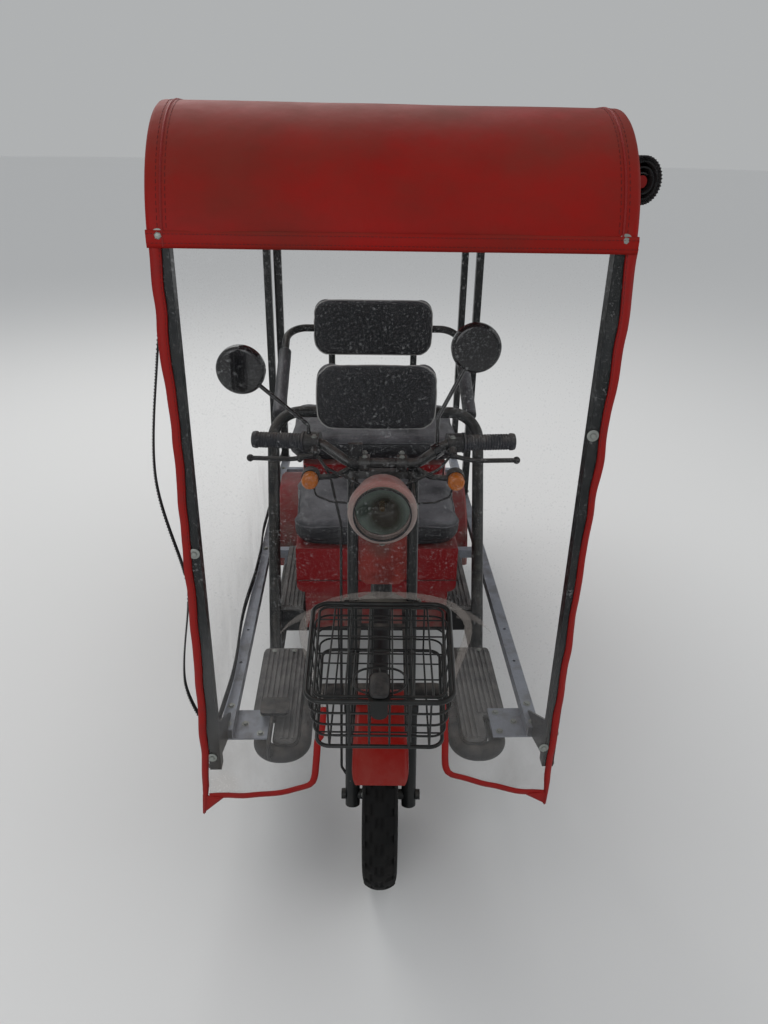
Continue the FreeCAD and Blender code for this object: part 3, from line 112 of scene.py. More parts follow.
class Finish:
    """One procedural material, built up in layers on a Principled shader."""

    def __init__(self, name, color, rough, **sockets):
        self.material = bpy.data.materials.new(name)
        self.material.use_nodes = True
        self.tree = self.material.node_tree
        self.shader = self.tree.nodes["Principled BSDF"]
        self.shader.inputs["Base Color"].default_value = (*color, 1.0)
        self.shader.inputs["Roughness"].default_value = rough
        for key, value in sockets.items():
            self.shader.inputs[key.replace("_", " ")].default_value = value
        self.place = self.node("ShaderNodeTexCoord").outputs["Object"]
        self.bump = None

    def node(self, kind, links=(), **values):
        """A node with its inputs linked or set; a blank in an input's name is written as an underscore."""
        n = self.tree.nodes.new(kind)
        for key, value in values.items():
            n.inputs[key.replace("_", " ")].default_value = value
        for key, source in links:
            self.tree.links.new(source, n.inputs[key])
        return n

    def noise(self, size, detail=5.0, rough=0.6, stretch=None):
        """Cloudy noise whose patches are about size metres across, drawn out along the axes by stretch."""
        place = self.place
        if stretch:
            place = self.node("ShaderNodeMapping", [("Vector", place)], Scale=stretch).outputs["Vector"]
        made = self.node("ShaderNodeTexNoise", [("Vector", place)],
                         Scale=1.0 / size, Detail=detail, Roughness=rough)
        return made.outputs["Fac"]

    def cells(self, count):
        """Distance from the middle of small cells, so many of which lie along a metre."""
        return self.node("ShaderNodeTexVoronoi", [("Vector", self.place)], Scale=count).outputs["Distance"]

    def specks(self, size, share):
        """Small round dots, size metres apart, on a share of the surface."""
        near = self.between(self.cells(1.0 / size), 0.34, 0.08)
        some = self.between(self.noise(size * 3, 2.0), 1.0 - share, 1.03 - share)
        return self.times(near, some)

    def between(self, source, low, high, amount=1.0):
        """0 where the source is at low and amount where it is at high."""
        made = self.node("ShaderNodeMapRange", [("Value", source)],
                         From_Min=low, From_Max=high, To_Max=amount)
        return made.outputs["Result"]

    def patches(self, size, detail, low, high, amount=1.0, stretch=None):
        """Cloudy patches about size metres across, with an edge as soft as low and high are apart."""
        return self.between(self.noise(size, detail, stretch=stretch), low, high, amount)

    def facing_up_patches(self, size, detail, low, high, amount):
        """Patches where the surface faces up: settled dust, and on the seat and roof vinyl also a painted
        sheen of light.
        """
        normal = self.node("ShaderNodeNewGeometry").outputs["Normal"]
        z = self.node("ShaderNodeSeparateXYZ", [("Vector", normal)]).outputs["Z"]
        return self.times(self.between(z, 0.15, 0.95), self.patches(size, detail, low, high, amount))

    def height(self, low, high, amount=1.0):
        """Grows from 0 at the height low to amount at the height high."""
        z = self.node("ShaderNodeSeparateXYZ", [("Vector", self.place)]).outputs["Z"]
        return self.between(z, low, high, amount)

    def round_spot(self, middle, outer, inner, amount):
        """Grows from 0 at the outer distance from a point, seen along Y, to amount at the inner one."""
        flat = self.node("ShaderNodeVectorMath", [(0, self.place)])
        flat.operation = "MULTIPLY"
        flat.inputs[1].default_value = (1.0, 0.0, 1.0)
        away = self.node("ShaderNodeVectorMath", [(0, flat.outputs["Vector"])])
        away.operation = "DISTANCE"
        away.inputs[1].default_value = (middle.x, 0.0, middle.z)
        return self.between(away.outputs["Value"], outer, inner, amount)

    def times(self, a, b):
        """Where both masks are above 0."""
        made = self.node("ShaderNodeMath", [(0, a), (1, b)])
        made.operation = "MULTIPLY"
        return made.outputs[0]

    def tint(self, mask, color, rough=None):
        """A second colour, and a second roughness, where the mask is above 0."""
        self.layer("Base Color", mask, (*color, 1.0))
        if rough is not None:
            self.layer("Roughness", mask, rough)
        return self

    def layer(self, socket, mask, value):
        """Mixes a value into a socket of the shader where the mask is above 0."""
        target = self.shader.inputs[socket]
        mix = self.tree.nodes.new("ShaderNodeMix")
        mix.data_type = "RGBA" if isinstance(value, tuple) else "FLOAT"
        first, second = [s for s in mix.inputs if s.enabled and s.name in "AB"]
        if target.is_linked:
            self.tree.links.new(target.links[0].from_socket, first)
        else:
            first.default_value = target.default_value
        second.default_value = value
        factor = [s for s in mix.inputs if s.enabled and s.name == "Factor"][0]
        self.tree.links.new(mask, factor)
        result = [s for s in mix.outputs if s.enabled][0]
        self.tree.links.new(result, target)

    def pebbles(self, size, detail, height, stretch=None):
        """Relief of cloudy noise, in metres."""
        return self.grain(self.noise(size, detail, stretch=stretch), height)

    def grain(self, source, height):
        """Relief of the given height in metres."""
        made = self.node("ShaderNodeBump", [("Height", source)], Distance=height)
        if self.bump:
            self.tree.links.new(self.bump, made.inputs["Normal"])
        self.bump = made.outputs["Normal"]
        self.tree.links.new(self.bump, self.shader.inputs["Normal"])
        return self


DUST = (0.155, 0.138, 0.120)
SMUDGED_CORNER = Vector((-0.352, 0.0, 0.298))


def painted(name, color, rough, dust=0.35, wear=(0.20, 0.20, 0.20), **sockets):
    """Paint with dust on what faces up, dull patches and small worn spots."""
    f = Finish(name, color, rough, Specular_IOR_Level=0.22, **sockets)
    patches = f.patches(0.07, 5.0, 0.45, 0.72, 0.5)
    f.tint(patches, tuple(0.9 * c + 0.1 * d for c, d in zip(color, DUST)), min(0.9, rough + 0.2))
    f.tint(f.facing_up_patches(0.03, 6.0, 0.35, 0.7, dust), DUST, 0.85)
    f.tint(f.patches(0.011, 3.0, 0.72, 0.76, 0.5), wear, 0.6)
    return f.pebbles(0.004, 2.0, 0.00012).material


def red_vinyl():
    """Coated roof cloth, darker and duller in patches and where it faces up, the latter settled dust and a
    painted brown-grey sheen, with a fine pebble grain and soft creases.
    """
    f = Finish("red_vinyl", (0.250, 0.0058, 0.0040), 0.42, Specular_IOR_Level=0.10)
    f.tint(f.patches(0.26, 5.0, 0.40, 0.66, 0.75, stretch=(0.8, 1.0, 1.3)), (0.128, 0.0150, 0.0095), 0.55)
    # The brown-grey on what faces up is settled dust and a painted sheen of light on the roof's top.
    f.tint(f.facing_up_patches(0.14, 7.0, 0.25, 0.7, 0.75), (0.120, 0.034, 0.022), 0.70)
    f.tint(f.patches(0.05, 6.0, 0.62, 0.76, 0.30, stretch=(1.0, 1.0, 0.5)), (0.145, 0.034, 0.023), 0.62)
    f.pebbles(0.09, 3.0, 0.0022, stretch=(1.0, 1.0, 0.45))
    return f.pebbles(0.0016, 1.0, 0.00012).material


def red_plastic(name, color, faded, low=0.0, dust=0.5):
    """Moulded red panels, faded to orange in patches and dusty towards the ground."""
    f = Finish(name, color, 0.30, Specular_IOR_Level=0.18)
    f.tint(f.patches(0.10, 5.0, 0.46, 0.70, 0.55), faded, 0.42)
    f.tint(f.facing_up_patches(0.05, 6.0, 0.35, 0.7, dust), DUST, 0.8)
    if low:
        f.tint(f.times(f.height(low + 0.16, low, 0.75), f.patches(0.035, 6.0, 0.35, 0.65)), DUST, 0.85)
    f.tint(f.patches(0.16, 8.0, 0.60, 0.75, 0.18, stretch=(6.0, 6.0, 0.7)), (0.24, 0.110, 0.085), 0.6)
    return f.pebbles(0.02, 2.0, 0.0002).material


def black_vinyl(name, dust):
    """Seat cover: leather grain, grey dust and a painted pale sheen on top, and pale specks."""
    f = Finish(name, (0.0085, 0.0085, 0.0100), 0.42, Specular_IOR_Level=0.30)
    # The pale grey on what faces up is settled dust and a painted sheen of light on the cover's top; dust
    # sets how strong both are.
    f.tint(f.facing_up_patches(0.10, 6.0, 0.25, 0.7, dust), (0.215, 0.215, 0.230), 0.50)
    f.tint(f.patches(0.05, 6.0, 0.55, 0.75, 0.35), (0.034, 0.032, 0.033), 0.55)
    f.tint(f.patches(0.0034, 2.5, 0.50, 0.66, 0.65), (0.050, 0.052, 0.060), 0.7)
    f.pebbles(0.03, 3.0, 0.0012)
    return f.grain(f.cells(620.0), 0.00022).material


def galvanised():
    """Zinc spangle with white bloom and a little rust."""
    f = Finish("galvanised", (0.225, 0.240, 0.275), 0.48, Metallic=0.30, Specular_IOR_Level=0.35)
    f.tint(f.between(f.cells(95.0), 0.2, 0.7, 0.5), (0.20, 0.215, 0.24), 0.5)
    f.tint(f.patches(0.05, 7.0, 0.48, 0.66, 0.55), (0.125, 0.120, 0.118), 0.7)
    f.tint(f.patches(0.018, 5.0, 0.68, 0.75, 0.8), (0.070, 0.036, 0.022), 0.85)
    return f.pebbles(0.006, 3.0, 0.0003).material


def film(name, color, alpha, spots, rough=0.14, foot=0.0):
    """Clear sheet with a veil of dust, water marks and specks. foot is how dirty it is near the ground."""
    f = Finish(name, color, rough, Alpha=alpha, IOR=1.35)
    f.layer("Alpha", f.patches(0.22, 7.0, 0.45, 0.75), alpha + 0.012)
    f.layer("Alpha", f.patches(0.06, 6.0, 0.60, 0.74, 0.8, stretch=(1.0, 1.0, 0.35)), alpha + 0.036)
    if foot:
        smudge = f.times(f.height(0.74, 0.42), f.patches(0.11, 6.0, 0.28, 0.66, stretch=(1.0, 1.0, 0.5)))
        f.layer("Base Color", smudge, (0.13, 0.115, 0.10, 1.0))
        f.layer("Alpha", smudge, foot)
        corner = f.round_spot(SMUDGED_CORNER, 0.050, 0.022, 0.8)
        f.layer("Base Color", corner, (0.42, 0.38, 0.34, 1.0))
        f.layer("Alpha", corner, 0.42)
    f.layer("Alpha", f.specks(0.0090, spots - 0.08), 0.18)
    f.layer("Alpha", f.specks(0.0048, spots + 0.08), 0.15)
    return f.pebbles(0.16, 2.0, 0.0012).material


def ribbed_rubber():
    """Foot mats: grey rubber, dusty between the ribs, with scuffs."""
    f = Finish("grey_rubber", (0.062, 0.060, 0.058), 0.75)
    f.tint(f.patches(0.05, 7.0, 0.35, 0.65, 0.75), (0.165, 0.157, 0.148), 0.9)
    f.tint(f.patches(0.012, 4.0, 0.62, 0.70, 0.5), (0.030, 0.029, 0.028), 0.7)
    return f.pebbles(0.003, 2.0, 0.0003).material


def tyre_rubber():
    """Tyre rubber with grey dust in the tread and on the walls."""
    f = Finish("tyre_rubber", (0.0045, 0.0045, 0.0045), 0.75, Specular_IOR_Level=0.15)
    f.tint(f.patches(0.04, 7.0, 0.48, 0.72, 0.55), (0.014, 0.013, 0.012), 0.9)
    f.tint(f.height(0.07, 0.0, 0.5), (0.024, 0.022, 0.020), 0.9)
    return f.pebbles(0.002, 2.0, 0.0002).material


def faded_red():
    """The lamp's ring: red lacquer gone chalky, pinker at its top."""
    f = Finish("faded_red", (0.235, 0.180, 0.162), 0.40, Specular_IOR_Level=0.3)
    f.tint(f.patches(0.03, 5.0, 0.42, 0.66, 0.6), (0.19, 0.16, 0.15), 0.5)
    f.tint(f.height(0.935, 0.990, 0.75), (0.27, 0.100, 0.085), 0.45)
    f.tint(f.patches(0.009, 4.0, 0.60, 0.70, 0.5), (0.34, 0.29, 0.265), 0.5)
    return f.pebbles(0.003, 2.0, 0.0002).material


def apron_red():
    """The panel between the fork's tubes: bright at its lower left, with a dusty round smear."""
    f = Finish("apron_red", (0.105, 0.0095, 0.0070), 0.34, Specular_IOR_Level=0.22)
    f.tint(f.patches(0.05, 4.0, 0.42, 0.62, 0.7), (0.205, 0.022, 0.015), 0.4)
    f.tint(f.round_spot(parked_point(0.0, -0.720, 0.790), 0.036, 0.016, 0.6), (0.080, 0.040, 0.031), 0.7)
    f.tint(f.patches(0.028, 6.0, 0.56, 0.70, 0.35), (0.13, 0.055, 0.044), 0.75)
    f.tint(f.height(0.715, 0.675, 0.6), (0.13, 0.085, 0.070), 0.8)
    return f.pebbles(0.012, 2.0, 0.0002).material


def lamp_reflector():
    """Dull grey-green reflector that darkens to brown round the bulb, a painted dark reflection, with a
    painted dark green reflection beside the bulb.
    """
    f = Finish("reflector", (0.150, 0.185, 0.160), 0.40, Metallic=0.2)
    # Painted dark brown reflection round the bulb.
    f.tint(f.round_spot(parked_point(0.007, LAMP_Y, LAMP_Z - 0.018), 0.047, 0.026, 1.0),
           (0.016, 0.010, 0.003), 0.5)
    # Painted dark green reflection to one side of the bulb.
    f.tint(f.round_spot(parked_point(-0.037, LAMP_Y, LAMP_Z - 0.010), 0.018, 0.008, 0.8),
           (0.012, 0.022, 0.015), 0.4)
    return f.pebbles(0.006, 2.0, 0.0002).material


def crown_casting():
    """Dull olive-grey lower crown and black upper one, dusty."""
    f = Finish("crown_casting", (0.012, 0.012, 0.012), 0.34)
    f.tint(f.height(0.70, 0.675, 1.0), (0.075, 0.072, 0.058), 0.6)
    f.tint(f.facing_up_patches(0.02, 6.0, 0.35, 0.7, 0.5), DUST, 0.85)
    return f.pebbles(0.003, 2.0, 0.0002).material


def lens(name, color):
    """Ribbed coloured plastic."""
    f = Finish(name, color, 0.22, Specular_IOR_Level=0.45)
    f.tint(f.patches(0.012, 4.0, 0.5, 0.7, 0.4), tuple(0.7 * c + 0.02 for c in color), 0.5)
    return f.pebbles(0.002, 1.0, 0.00015).material


def gauze(name, color, rough, size):
    """Woven tape or piping with a cross weave."""
    f = Finish(name, color, rough, Specular_IOR_Level=0.18)
    f.tint(f.patches(0.03, 6.0, 0.5, 0.72, 0.5), tuple(0.65 * c + 0.008 for c in color), rough)
    return f.pebbles(size, 1.0, 0.0003, stretch=(1.0, 1.0, 2.5)).material


MAT = {
    "tyre": tyre_rubber(),
    "rim_black": painted("rim_black", (0.020, 0.020, 0.022), 0.42, dust=0.5),
    "black_paint": painted("gloss_black", (0.0100, 0.0115, 0.0120), 0.30, dust=0.45),
    "black_steel": painted("frame_black", (0.016, 0.016, 0.017), 0.45, dust=0.6),
    "red_plastic": red_plastic("red_body", (0.178, 0.0070, 0.0090), (0.165, 0.018, 0.019), low=0.27),
    "fender_red": red_plastic("fender_red", (0.200, 0.0068, 0.0046), (0.215, 0.022, 0.014), low=0.26,
                              dust=0.08),
    "apron_red": apron_red(),
    "mirror_shell": painted("mirror_shell", (0.006, 0.006, 0.007), 0.10, dust=0.15, Coat_Weight=0.6,
                            Coat_Roughness=0.04),
    "faded_red": faded_red(),
    "galvanised": galvanised(),
    # The second value of black_vinyl sets both the dust and the painted sheen on the cover's top.
    "black_vinyl": black_vinyl("black_vinyl", 0.85),
    "back_vinyl": black_vinyl("back_vinyl", 0.6),
    "grey_rubber": ribbed_rubber(),
    "red_vinyl": red_vinyl(),
    "clear_pvc": film("clear_pvc", (0.60, 0.60, 0.60), 0.004, 0.55, foot=0.26),
    "film_edge": film("film_edge", (0.36, 0.32, 0.29), 0.24, 0.5, rough=0.35),
    "curtain_film": film("curtain_film", (0.030, 0.026, 0.026), 0.90, 0.3, rough=0.22),
    "amber": lens("amber", (0.34, 0.095, 0.010)),
    "lamp_glass": film("lamp_glass", (0.12, 0.13, 0.115), 0.020, 0.16, rough=0.04),
    "red_lens": lens("red_lens", (0.33, 0.006, 0.006)),
    "black_plastic": painted("black_plastic", (0.014, 0.014, 0.015), 0.46, dust=0.4),
    "black_wire": painted("black_wire", (0.0050, 0.0060, 0.0060), 0.30, dust=0.1, wear=(0.05, 0.05, 0.05),
                          Coat_Weight=0.15),
    "grey_casting": painted("grey_casting", (0.24, 0.24, 0.25), 0.42, dust=0.4, Metallic=0.7),
    "crown_casting": crown_casting(),
    "piping": gauze("red_piping", (0.20, 0.010, 0.008), 0.5, 0.0012),
    "zip_tape": gauze("zip_tape", (0.012, 0.012, 0.013), 0.6, 0.0010),
    "bolt": painted("zinc_bolt", (0.25, 0.265, 0.245), 0.38, dust=0.4, Metallic=0.5),
    "mirror_face": painted("mirror_face", (0.75, 0.77, 0.78), 0.06, dust=0.25, Metallic=1.0),
    "reflector": lamp_reflector(),
    "rubber": painted("grip_rubber", (0.026, 0.027, 0.032), 0.55, dust=0.8, wear=(0.12, 0.12, 0.13)),
    "pale_piping": gauze("pale_piping", (0.30, 0.295, 0.285), 0.55, 0.0010),
    "red_hem": gauze("red_hem", (0.235, 0.0062, 0.0045), 0.45, 0.0014),
    "dark_thread": gauze("dark_thread", (0.10, 0.012, 0.012), 0.7, 0.0008),
    # The arm rest sleeves share the seat cover's dust and painted sheen on top.
    "sleeve_foam": black_vinyl("sleeve_foam", 0.5),
    "lamp_bulb": painted("lamp_bulb", (0.045, 0.026, 0.009), 0.35, dust=0.05),
    "dark_seam": painted("dark_seam", (0.06, 0.006, 0.006), 0.5, dust=0.3),
}
# CAD nodes whose finish differs from their slot's usual one
SPECIAL = {"mirrors": "mirror_shell", "apron_panel": "apron_red", "front_fender": "fender_red",
           "fork_crowns": "crown_casting"}


def dress_nodes():
    """Gives every CAD node its material and smooth shading up to its sharp edges."""
    for row in frame["record"]["subparts"]:
        node = NODES[row["node"]]
        node.data.materials.clear()
        node.data.materials.append(MAT[SPECIAL.get(row["node"], row["material_slot"])])
        node.data.polygons.foreach_set("use_smooth", [True] * len(node.data.polygons))
        soft_edges(node, 32)


# Mesh helpers

def soft_edges(o, degrees):
    """Shades edges smooth up to an angle and keeps the sharper ones."""
    o.modifiers.new("soft_edges", "EDGE_SPLIT").split_angle = math.radians(degrees)


def mesh_object(name, points, faces, finish, smooth=True):
    """A mesh object from points and faces."""
    data = bpy.data.meshes.new(name)
    data.from_pydata([tuple(p) for p in points], [], [tuple(f) for f in faces])
    data.materials.append(MAT[finish])
    data.polygons.foreach_set("use_smooth", [smooth] * len(data.polygons))
    data.update()
    o = bpy.data.objects.new(name, data)
    bpy.context.scene.collection.objects.link(o)
    return o


def grid(points, close_u=False, close_v=False, start=0):
    """Faces of a grid of points, row by row. points is a list of equal rows."""
    nu, nv = len(points), len(points[0])
    faces = []
    for i in range(nu if close_u else nu - 1):
        for j in range(nv if close_v else nv - 1):
            a, b = (i % nu) * nv, ((i + 1) % nu) * nv
            faces.append((start + a + j, start + a + (j + 1) % nv, start + b + (j + 1) % nv, start + b + j))
    return faces


def spread(low, high, steps):
    """Even values from low to high, both with them."""
    return [low + (high - low) * k / steps for k in range(steps + 1)]


def end_caps(count, sides, start=0):
    """The two faces that close a tube made of count rings of points."""
    last = start + (count - 1) * sides
    return [tuple(start + k for k in reversed(range(sides))), tuple(last + k for k in range(sides))]


def grid_object(name, rows, finish, close_u=False, close_v=False, thick=0.0, caps=False):
    """A grid of points as an object, given a thickness if thick is above 0."""
    faces = grid(rows, close_u, close_v) + (end_caps(len(rows), len(rows[0])) if caps else [])
    o = mesh_object(name, [p for r in rows for p in r], faces, finish)
    if thick:
        s = o.modifiers.new("thick", "SOLIDIFY")
        s.thickness = thick
        s.offset = 0.0
    return o


def circle(middle, side, other, radius, sides, first=0.0):
    """Points round a circle that lies along two unit directions, from the angle first on."""
    turns = [2 * math.pi * k / sides + first for k in range(sides)]
    return [middle + side * (radius * math.cos(a)) + other * (radius * math.sin(a)) for a in turns]


def direction(points, i):
    """The way a line of points runs at its point i."""
    return (points[min(i + 1, len(points) - 1)] - points[max(i - 1, 0)]).normalized()


def tube_rows(points, radius, sides=8, closed=False):
    """Rings of points round a bar along a line of points."""
    pts = [Vector(p) for p in points]
    rows, side = [], None
    for i, p in enumerate(pts):
        along = (pts[(i + 1) % len(pts)] - pts[i - 1]).normalized() if closed else direction(pts, i)
        side = side or along.orthogonal().normalized()
        side = (side - along * side.dot(along)).normalized()
        rows.append(circle(p, side, along.cross(side), radius, sides))
    return rows


def smooth_line(points, step):
    """A smooth curve through the points, as points about step metres apart."""
    pts = [Vector(p) for p in points]
    made = []
    for i, (a, b) in enumerate(zip(pts, pts[1:])):
        before, after = pts[max(i - 1, 0)], pts[min(i + 2, len(pts) - 1)]
        in_a, in_b = (b - before) * 0.5, (after - a) * 0.5
        n = max(1, round((b - a).length / step))
        for t in (k / n for k in range(n)):
            made.append(a * (2 * t ** 3 - 3 * t ** 2 + 1) + in_a * (t ** 3 - 2 * t ** 2 + t)
                        + b * (3 * t ** 2 - 2 * t ** 3) + in_b * (t ** 3 - t ** 2))
    return made + [pts[-1]]


def rounded_ring(half_a, half_b, radius, steps):
    """Points round a rectangle with round corners, each corner in so many steps."""
    ring = []
    for sa, sb, start in ((1, 1, 0), (-1, 1, 90), (-1, -1, 180), (1, -1, 270)):
        for t in (math.radians(start + 90 * k / steps) for k in range(steps + 1)):
            ring.append((sa * (half_a - radius) + radius * math.cos(t),
                         sb * (half_b - radius) + radius * math.sin(t)))
    return ring


class Batch:
    """Many small shapes gathered into one object."""

    def __init__(self):
        self.points, self.faces = [], []

    def rows(self, rows, close_u=False, close_v=True, caps=False):
        """Rings of points, joined row by row."""
        start = len(self.points)
        self.points += [p for r in rows for p in r]
        self.faces += grid(rows, close_u, close_v, start)
        if caps:
            self.faces += end_caps(len(rows), len(rows[0]), start)

    def tube(self, points, radius, sides=8, closed=False):
        """A bar along a line of points."""
        self.rows(tube_rows(points, radius, sides, closed), close_u=closed, caps=not closed)

    def turned(self, profile, origin, axis, sides=16):
        """A profile of (radius, distance along axis) turned about the axis."""
        axis = Vector(axis).normalized()
        side = axis.orthogonal().normalized()
        other = axis.cross(side)
        self.rows([circle(Vector(origin) + axis * d, side, other, r, sides) for r, d in profile], caps=True)

    def block(self, low, high):
        """A box between two corners."""
        start = len(self.points)
        for z in (low[2], high[2]):
            for x, y in ((low[0], low[1]), (high[0], low[1]), (high[0], high[1]), (low[0], high[1])):
                self.points.append((x, y, z))
        for f in ((3, 2, 1, 0), (4, 5, 6, 7), (0, 1, 5, 4), (1, 2, 6, 5), (2, 3, 7, 6), (3, 0, 4, 7)):
            self.faces.append(tuple(start + k for k in f))

    def bolt(self, origin, axis, radius, height):
        """A domed head on a washer."""
        washer = radius * 1.6
        self.turned([(washer, 0.0), (washer, 0.0012), (radius, 0.0013), (radius, height * 0.6),
                     (radius * 0.75, height * 0.92), (radius * 0.2, height)], origin, axis, 14)

    def hex_bolt(self, origin, axis, radius, height):
        """A six-sided head on a washer."""
        self.turned([(radius * 1.5, 0.0), (radius * 1.5, 0.0012)], origin, axis, 18)
        self.turned([(radius, 0.001), (radius, height), (radius * 0.85, height * 1.12)], origin, axis, 6)

    def made(self, name, finish, smooth=True):
        """All the shapes as one object."""
        o = mesh_object(name, self.points, self.faces, finish, smooth)
        if smooth:
            soft_edges(o, 35)
        return o


def arc(center, radius, a0, a1, n):
    """Points of an arc in a plane, angles in degrees."""
    turns = [math.radians(a) for a in spread(a0, a1, n)]
    return [(center[0] + radius * math.cos(a), center[1] + radius * math.sin(a)) for a in turns]


def place(o, body, slot, *replaced):
    """Says which body a piece rides on and which nodes it stands for. The slot argument is not used.

    Pieces of the steering are built with it straight and are turned here to where it is parked.
    """
    if body in STEERED:
        o.data.transform(Matrix.Translation(STEER_FOOT) @ Matrix.Rotation(REST_TURN, 4, STEER_UP)
                         @ Matrix.Translation(-STEER_FOOT))
    if replaced:
        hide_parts(*replaced)
    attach(o, body)
    return o


# Roof cover

def roof_profile():
    """(y, z) points of the roof from the front hem over the top to the rear hem."""
    y0, y1, top, r, q = ROOF_FRONT, ROOF_REAR, ROOF_TOP, ROOF_BEND, REAR_BEND
    pts = [(y0, HEM), (y0, HEM + 0.002)]
    pts += arc((y0 + r, top - r), r, 180, 90, 30)
    steps = 84
    pts += [(y0 + r + (y1 - q - y0 - r) * i / steps, top) for i in range(1, steps)]
    pts += arc((y1 - q, top - q), q, 90, 0, 8)
    return pts + [(y1, top - q + (REAR_HEM - top + q) * i / 14) for i in range(1, 15)]


def roof_normals(profile):
    """The outward direction (y, z) at each point of the profile."""
    made = []
    for k in range(len(profile)):
        a, b = profile[max(k - 1, 0)], profile[min(k + 1, len(profile) - 1)]
        dy, dz = b[0] - a[0], b[1] - a[1]
        n = math.hypot(dy, dz)
        made.append((-dz / n, dy / n))
    return made


def roof_pull(x, y, z):
    """How far the cover lies inside the plain barrel: sag between the bows and soft folds at the front."""
    u = 0.5 + x / (2 * ROOF_HALF)
    middle = max(0.0, math.sin(math.pi * u))
    if y > ROOF_FRONT + ROOF_BEND:
        near = min(abs(y - b) for b in ROOF_BOWS)
        return 0.0045 * middle ** 0.5 * min(1.0, near / 0.13) ** 2 + 0.0008 * noise.noise((x * 9, y * 7, 0.0))
    lean = (z - HEM) / (ROOF_TOP - HEM)
    side = 1.0 if x < 0 else 0.6
    corner = math.exp(-((abs(x) - 0.27) / 0.09) ** 2 - ((lean - 0.18) / 0.20) ** 2) * side
    folds = 0.0035 * math.sin(14.0 * abs(x) + 5.0 * lean) * corner
    dish = 0.0050 * math.exp(-((x + 0.04) / 0.22) ** 2) * math.sin(math.pi * min(1.0, lean * 1.05)) ** 2
    return folds + dish + 0.0014 * noise.noise((x * 6, lean * 2.2, 3.0)) * middle


def valance_foot(y, z):
    """Where the side panel's free edge lies for a point of the profile."""
    if y < ROOF_FRONT + ROOF_BEND:
        ahead = min(y + 0.026 + 0.10 * max(0.0, (z - HEM) / 0.21), ROOF_FRONT + ROOF_BEND)
        return ahead, min(z, VALANCE)
    if z < VALANCE:
        return ROOF_REAR - 0.040, z
    return min(y, ROOF_REAR - 0.040), VALANCE


def build_roof():
    """One sheet of red vinyl from valance to valance, with welts along its sides, a hem band and stitches."""
    profile = roof_profile()
    outward = list(zip(profile, roof_normals(profile)))
    rim, across, side_steps, outer = 0.007, 44, 4, ROOF_HALF - 0.0008
    rows = []
    for k, ((y, z), (ny, nz)) in enumerate(outward):
        foot_y, foot_z = valance_foot(y, z)
        sides = []
        for s in (-1, 1):
            side = []
            for t in spread(0, 1, side_steps):
                wave = 0.0022 * math.sin(k * 0.41 + s) * (1 - t) if abs(foot_z - VALANCE) < 0.02 else 0.0
                py, pz = y - ny * rim, z - nz * rim
                side.append((s * (outer + wave), foot_y + (py - foot_y) * t, foot_z + (pz - foot_z) * t))
            for a in (math.radians(30 * j) for j in (1, 2, 3)):
                inset = rim * (1 - math.sin(a))
                side.append((s * (outer - rim * (1 - math.cos(a))), y - ny * inset, z - nz * inset))
            sides.append(side)
        middle = []
        for x in ((ROOF_HALF - rim) * (2 * i / across - 1) for i in range(1, across)):
            pull = roof_pull(x, y, z)
            middle.append((x, y - ny * pull, z - nz * pull))
        rows.append(sides[0] + middle + sides[1][::-1])
    cover = place(grid_object("roof_skin", rows, "red_vinyl", thick=0.0014), "vehicle", "red_vinyl",
                  "roof_cover")

    def lengthwise(x, lift):
        """A line from hem to hem that stands off the cover by lift."""
        pulls = [roof_pull(x, y, z) - lift for y, z in profile]
        return [Vector((x, y - ny * p, z - nz * p)) for ((y, z), (ny, nz)), p in zip(outward, pulls)]

    trim, thread = Batch(), Batch()
    for s in (-1, 1):
        welt = s * (ROOF_HALF - 0.026)
        trim.tube(lengthwise(welt, 0.0006), 0.0023, 6)
        trim.tube([(s * outer, *valance_foot(y, z)) for y, z in profile[2:]], 0.0022, 6)
        for dx in (0.007, -0.007):
            dashes(thread, lengthwise(welt + dx, 0.0010), 0.009)
    front = [Vector((x, ROOF_FRONT, HEM)) for x in spread(-ROOF_HALF, ROOF_HALF, 60)]
    band = []
    for p in front:
        bulge = 0.0012 + 0.0010 * math.sin(p.x * 21.0)
        band.append([p + Vector((0, d - bulge * b, h)) for d, h, b in
                     ((0.0010, -0.001, 0), (-0.0016, -0.0025, 0.4), (-0.0024, 0.004, 0.7),
                      (-0.0022, 0.018, 1.0), (-0.0014, 0.024, 0.4), (0.0006, 0.0245, 0))])
    place(grid_object("roof_hem", band, "red_vinyl"), "vehicle", "red_vinyl")
    for h in (0.005, 0.019):
        dashes(thread, [p + Vector((0, -0.0036 - 0.0010 * math.sin(p.x * 21.0), h)) for p in front], 0.008)
    trim.tube([(p.x, ROOF_REAR + 0.0006, REAR_HEM + 0.001) for p in front], 0.0024, 6)
    place(trim.made("roof_piping", "piping"), "vehicle", "red_vinyl")
    place(thread.made("roof_stitches", "dark_thread", smooth=False), "vehicle", "red_vinyl")


def dashes(batch, line, pitch):
    """Short stitches along a line of points."""
    thick = 0.0005
    pts = smooth_line(line, pitch)
    for a, b in zip(pts, pts[1:]):
        if (b - a).length > 0.002:
            batch.tube([a.lerp(b, 0.2), a.lerp(b, 0.8)], thick, 4)


def square_bar(batch, low, high, round_edge=0.0025):
    """A square tube with rounded edges that runs along its longest side."""
    size = [h - l for l, h in zip(low, high)]
    axis = size.index(max(size))
    a, b = [k for k in range(3) if k != axis]
    rows = []
    for end in (low[axis], high[axis]):
        row = []
        for pa, pb in rounded_ring(size[a] / 2, size[b] / 2, round_edge, 3):
            p = [end, end, end]
            p[a], p[b] = (high[a] + low[a]) / 2 + pa, (high[b] + low[b]) / 2 + pb
            row.append(p)
        rows.append(row)
    if axis == 1:
        rows.reverse()
    batch.rows(rows, caps=True)


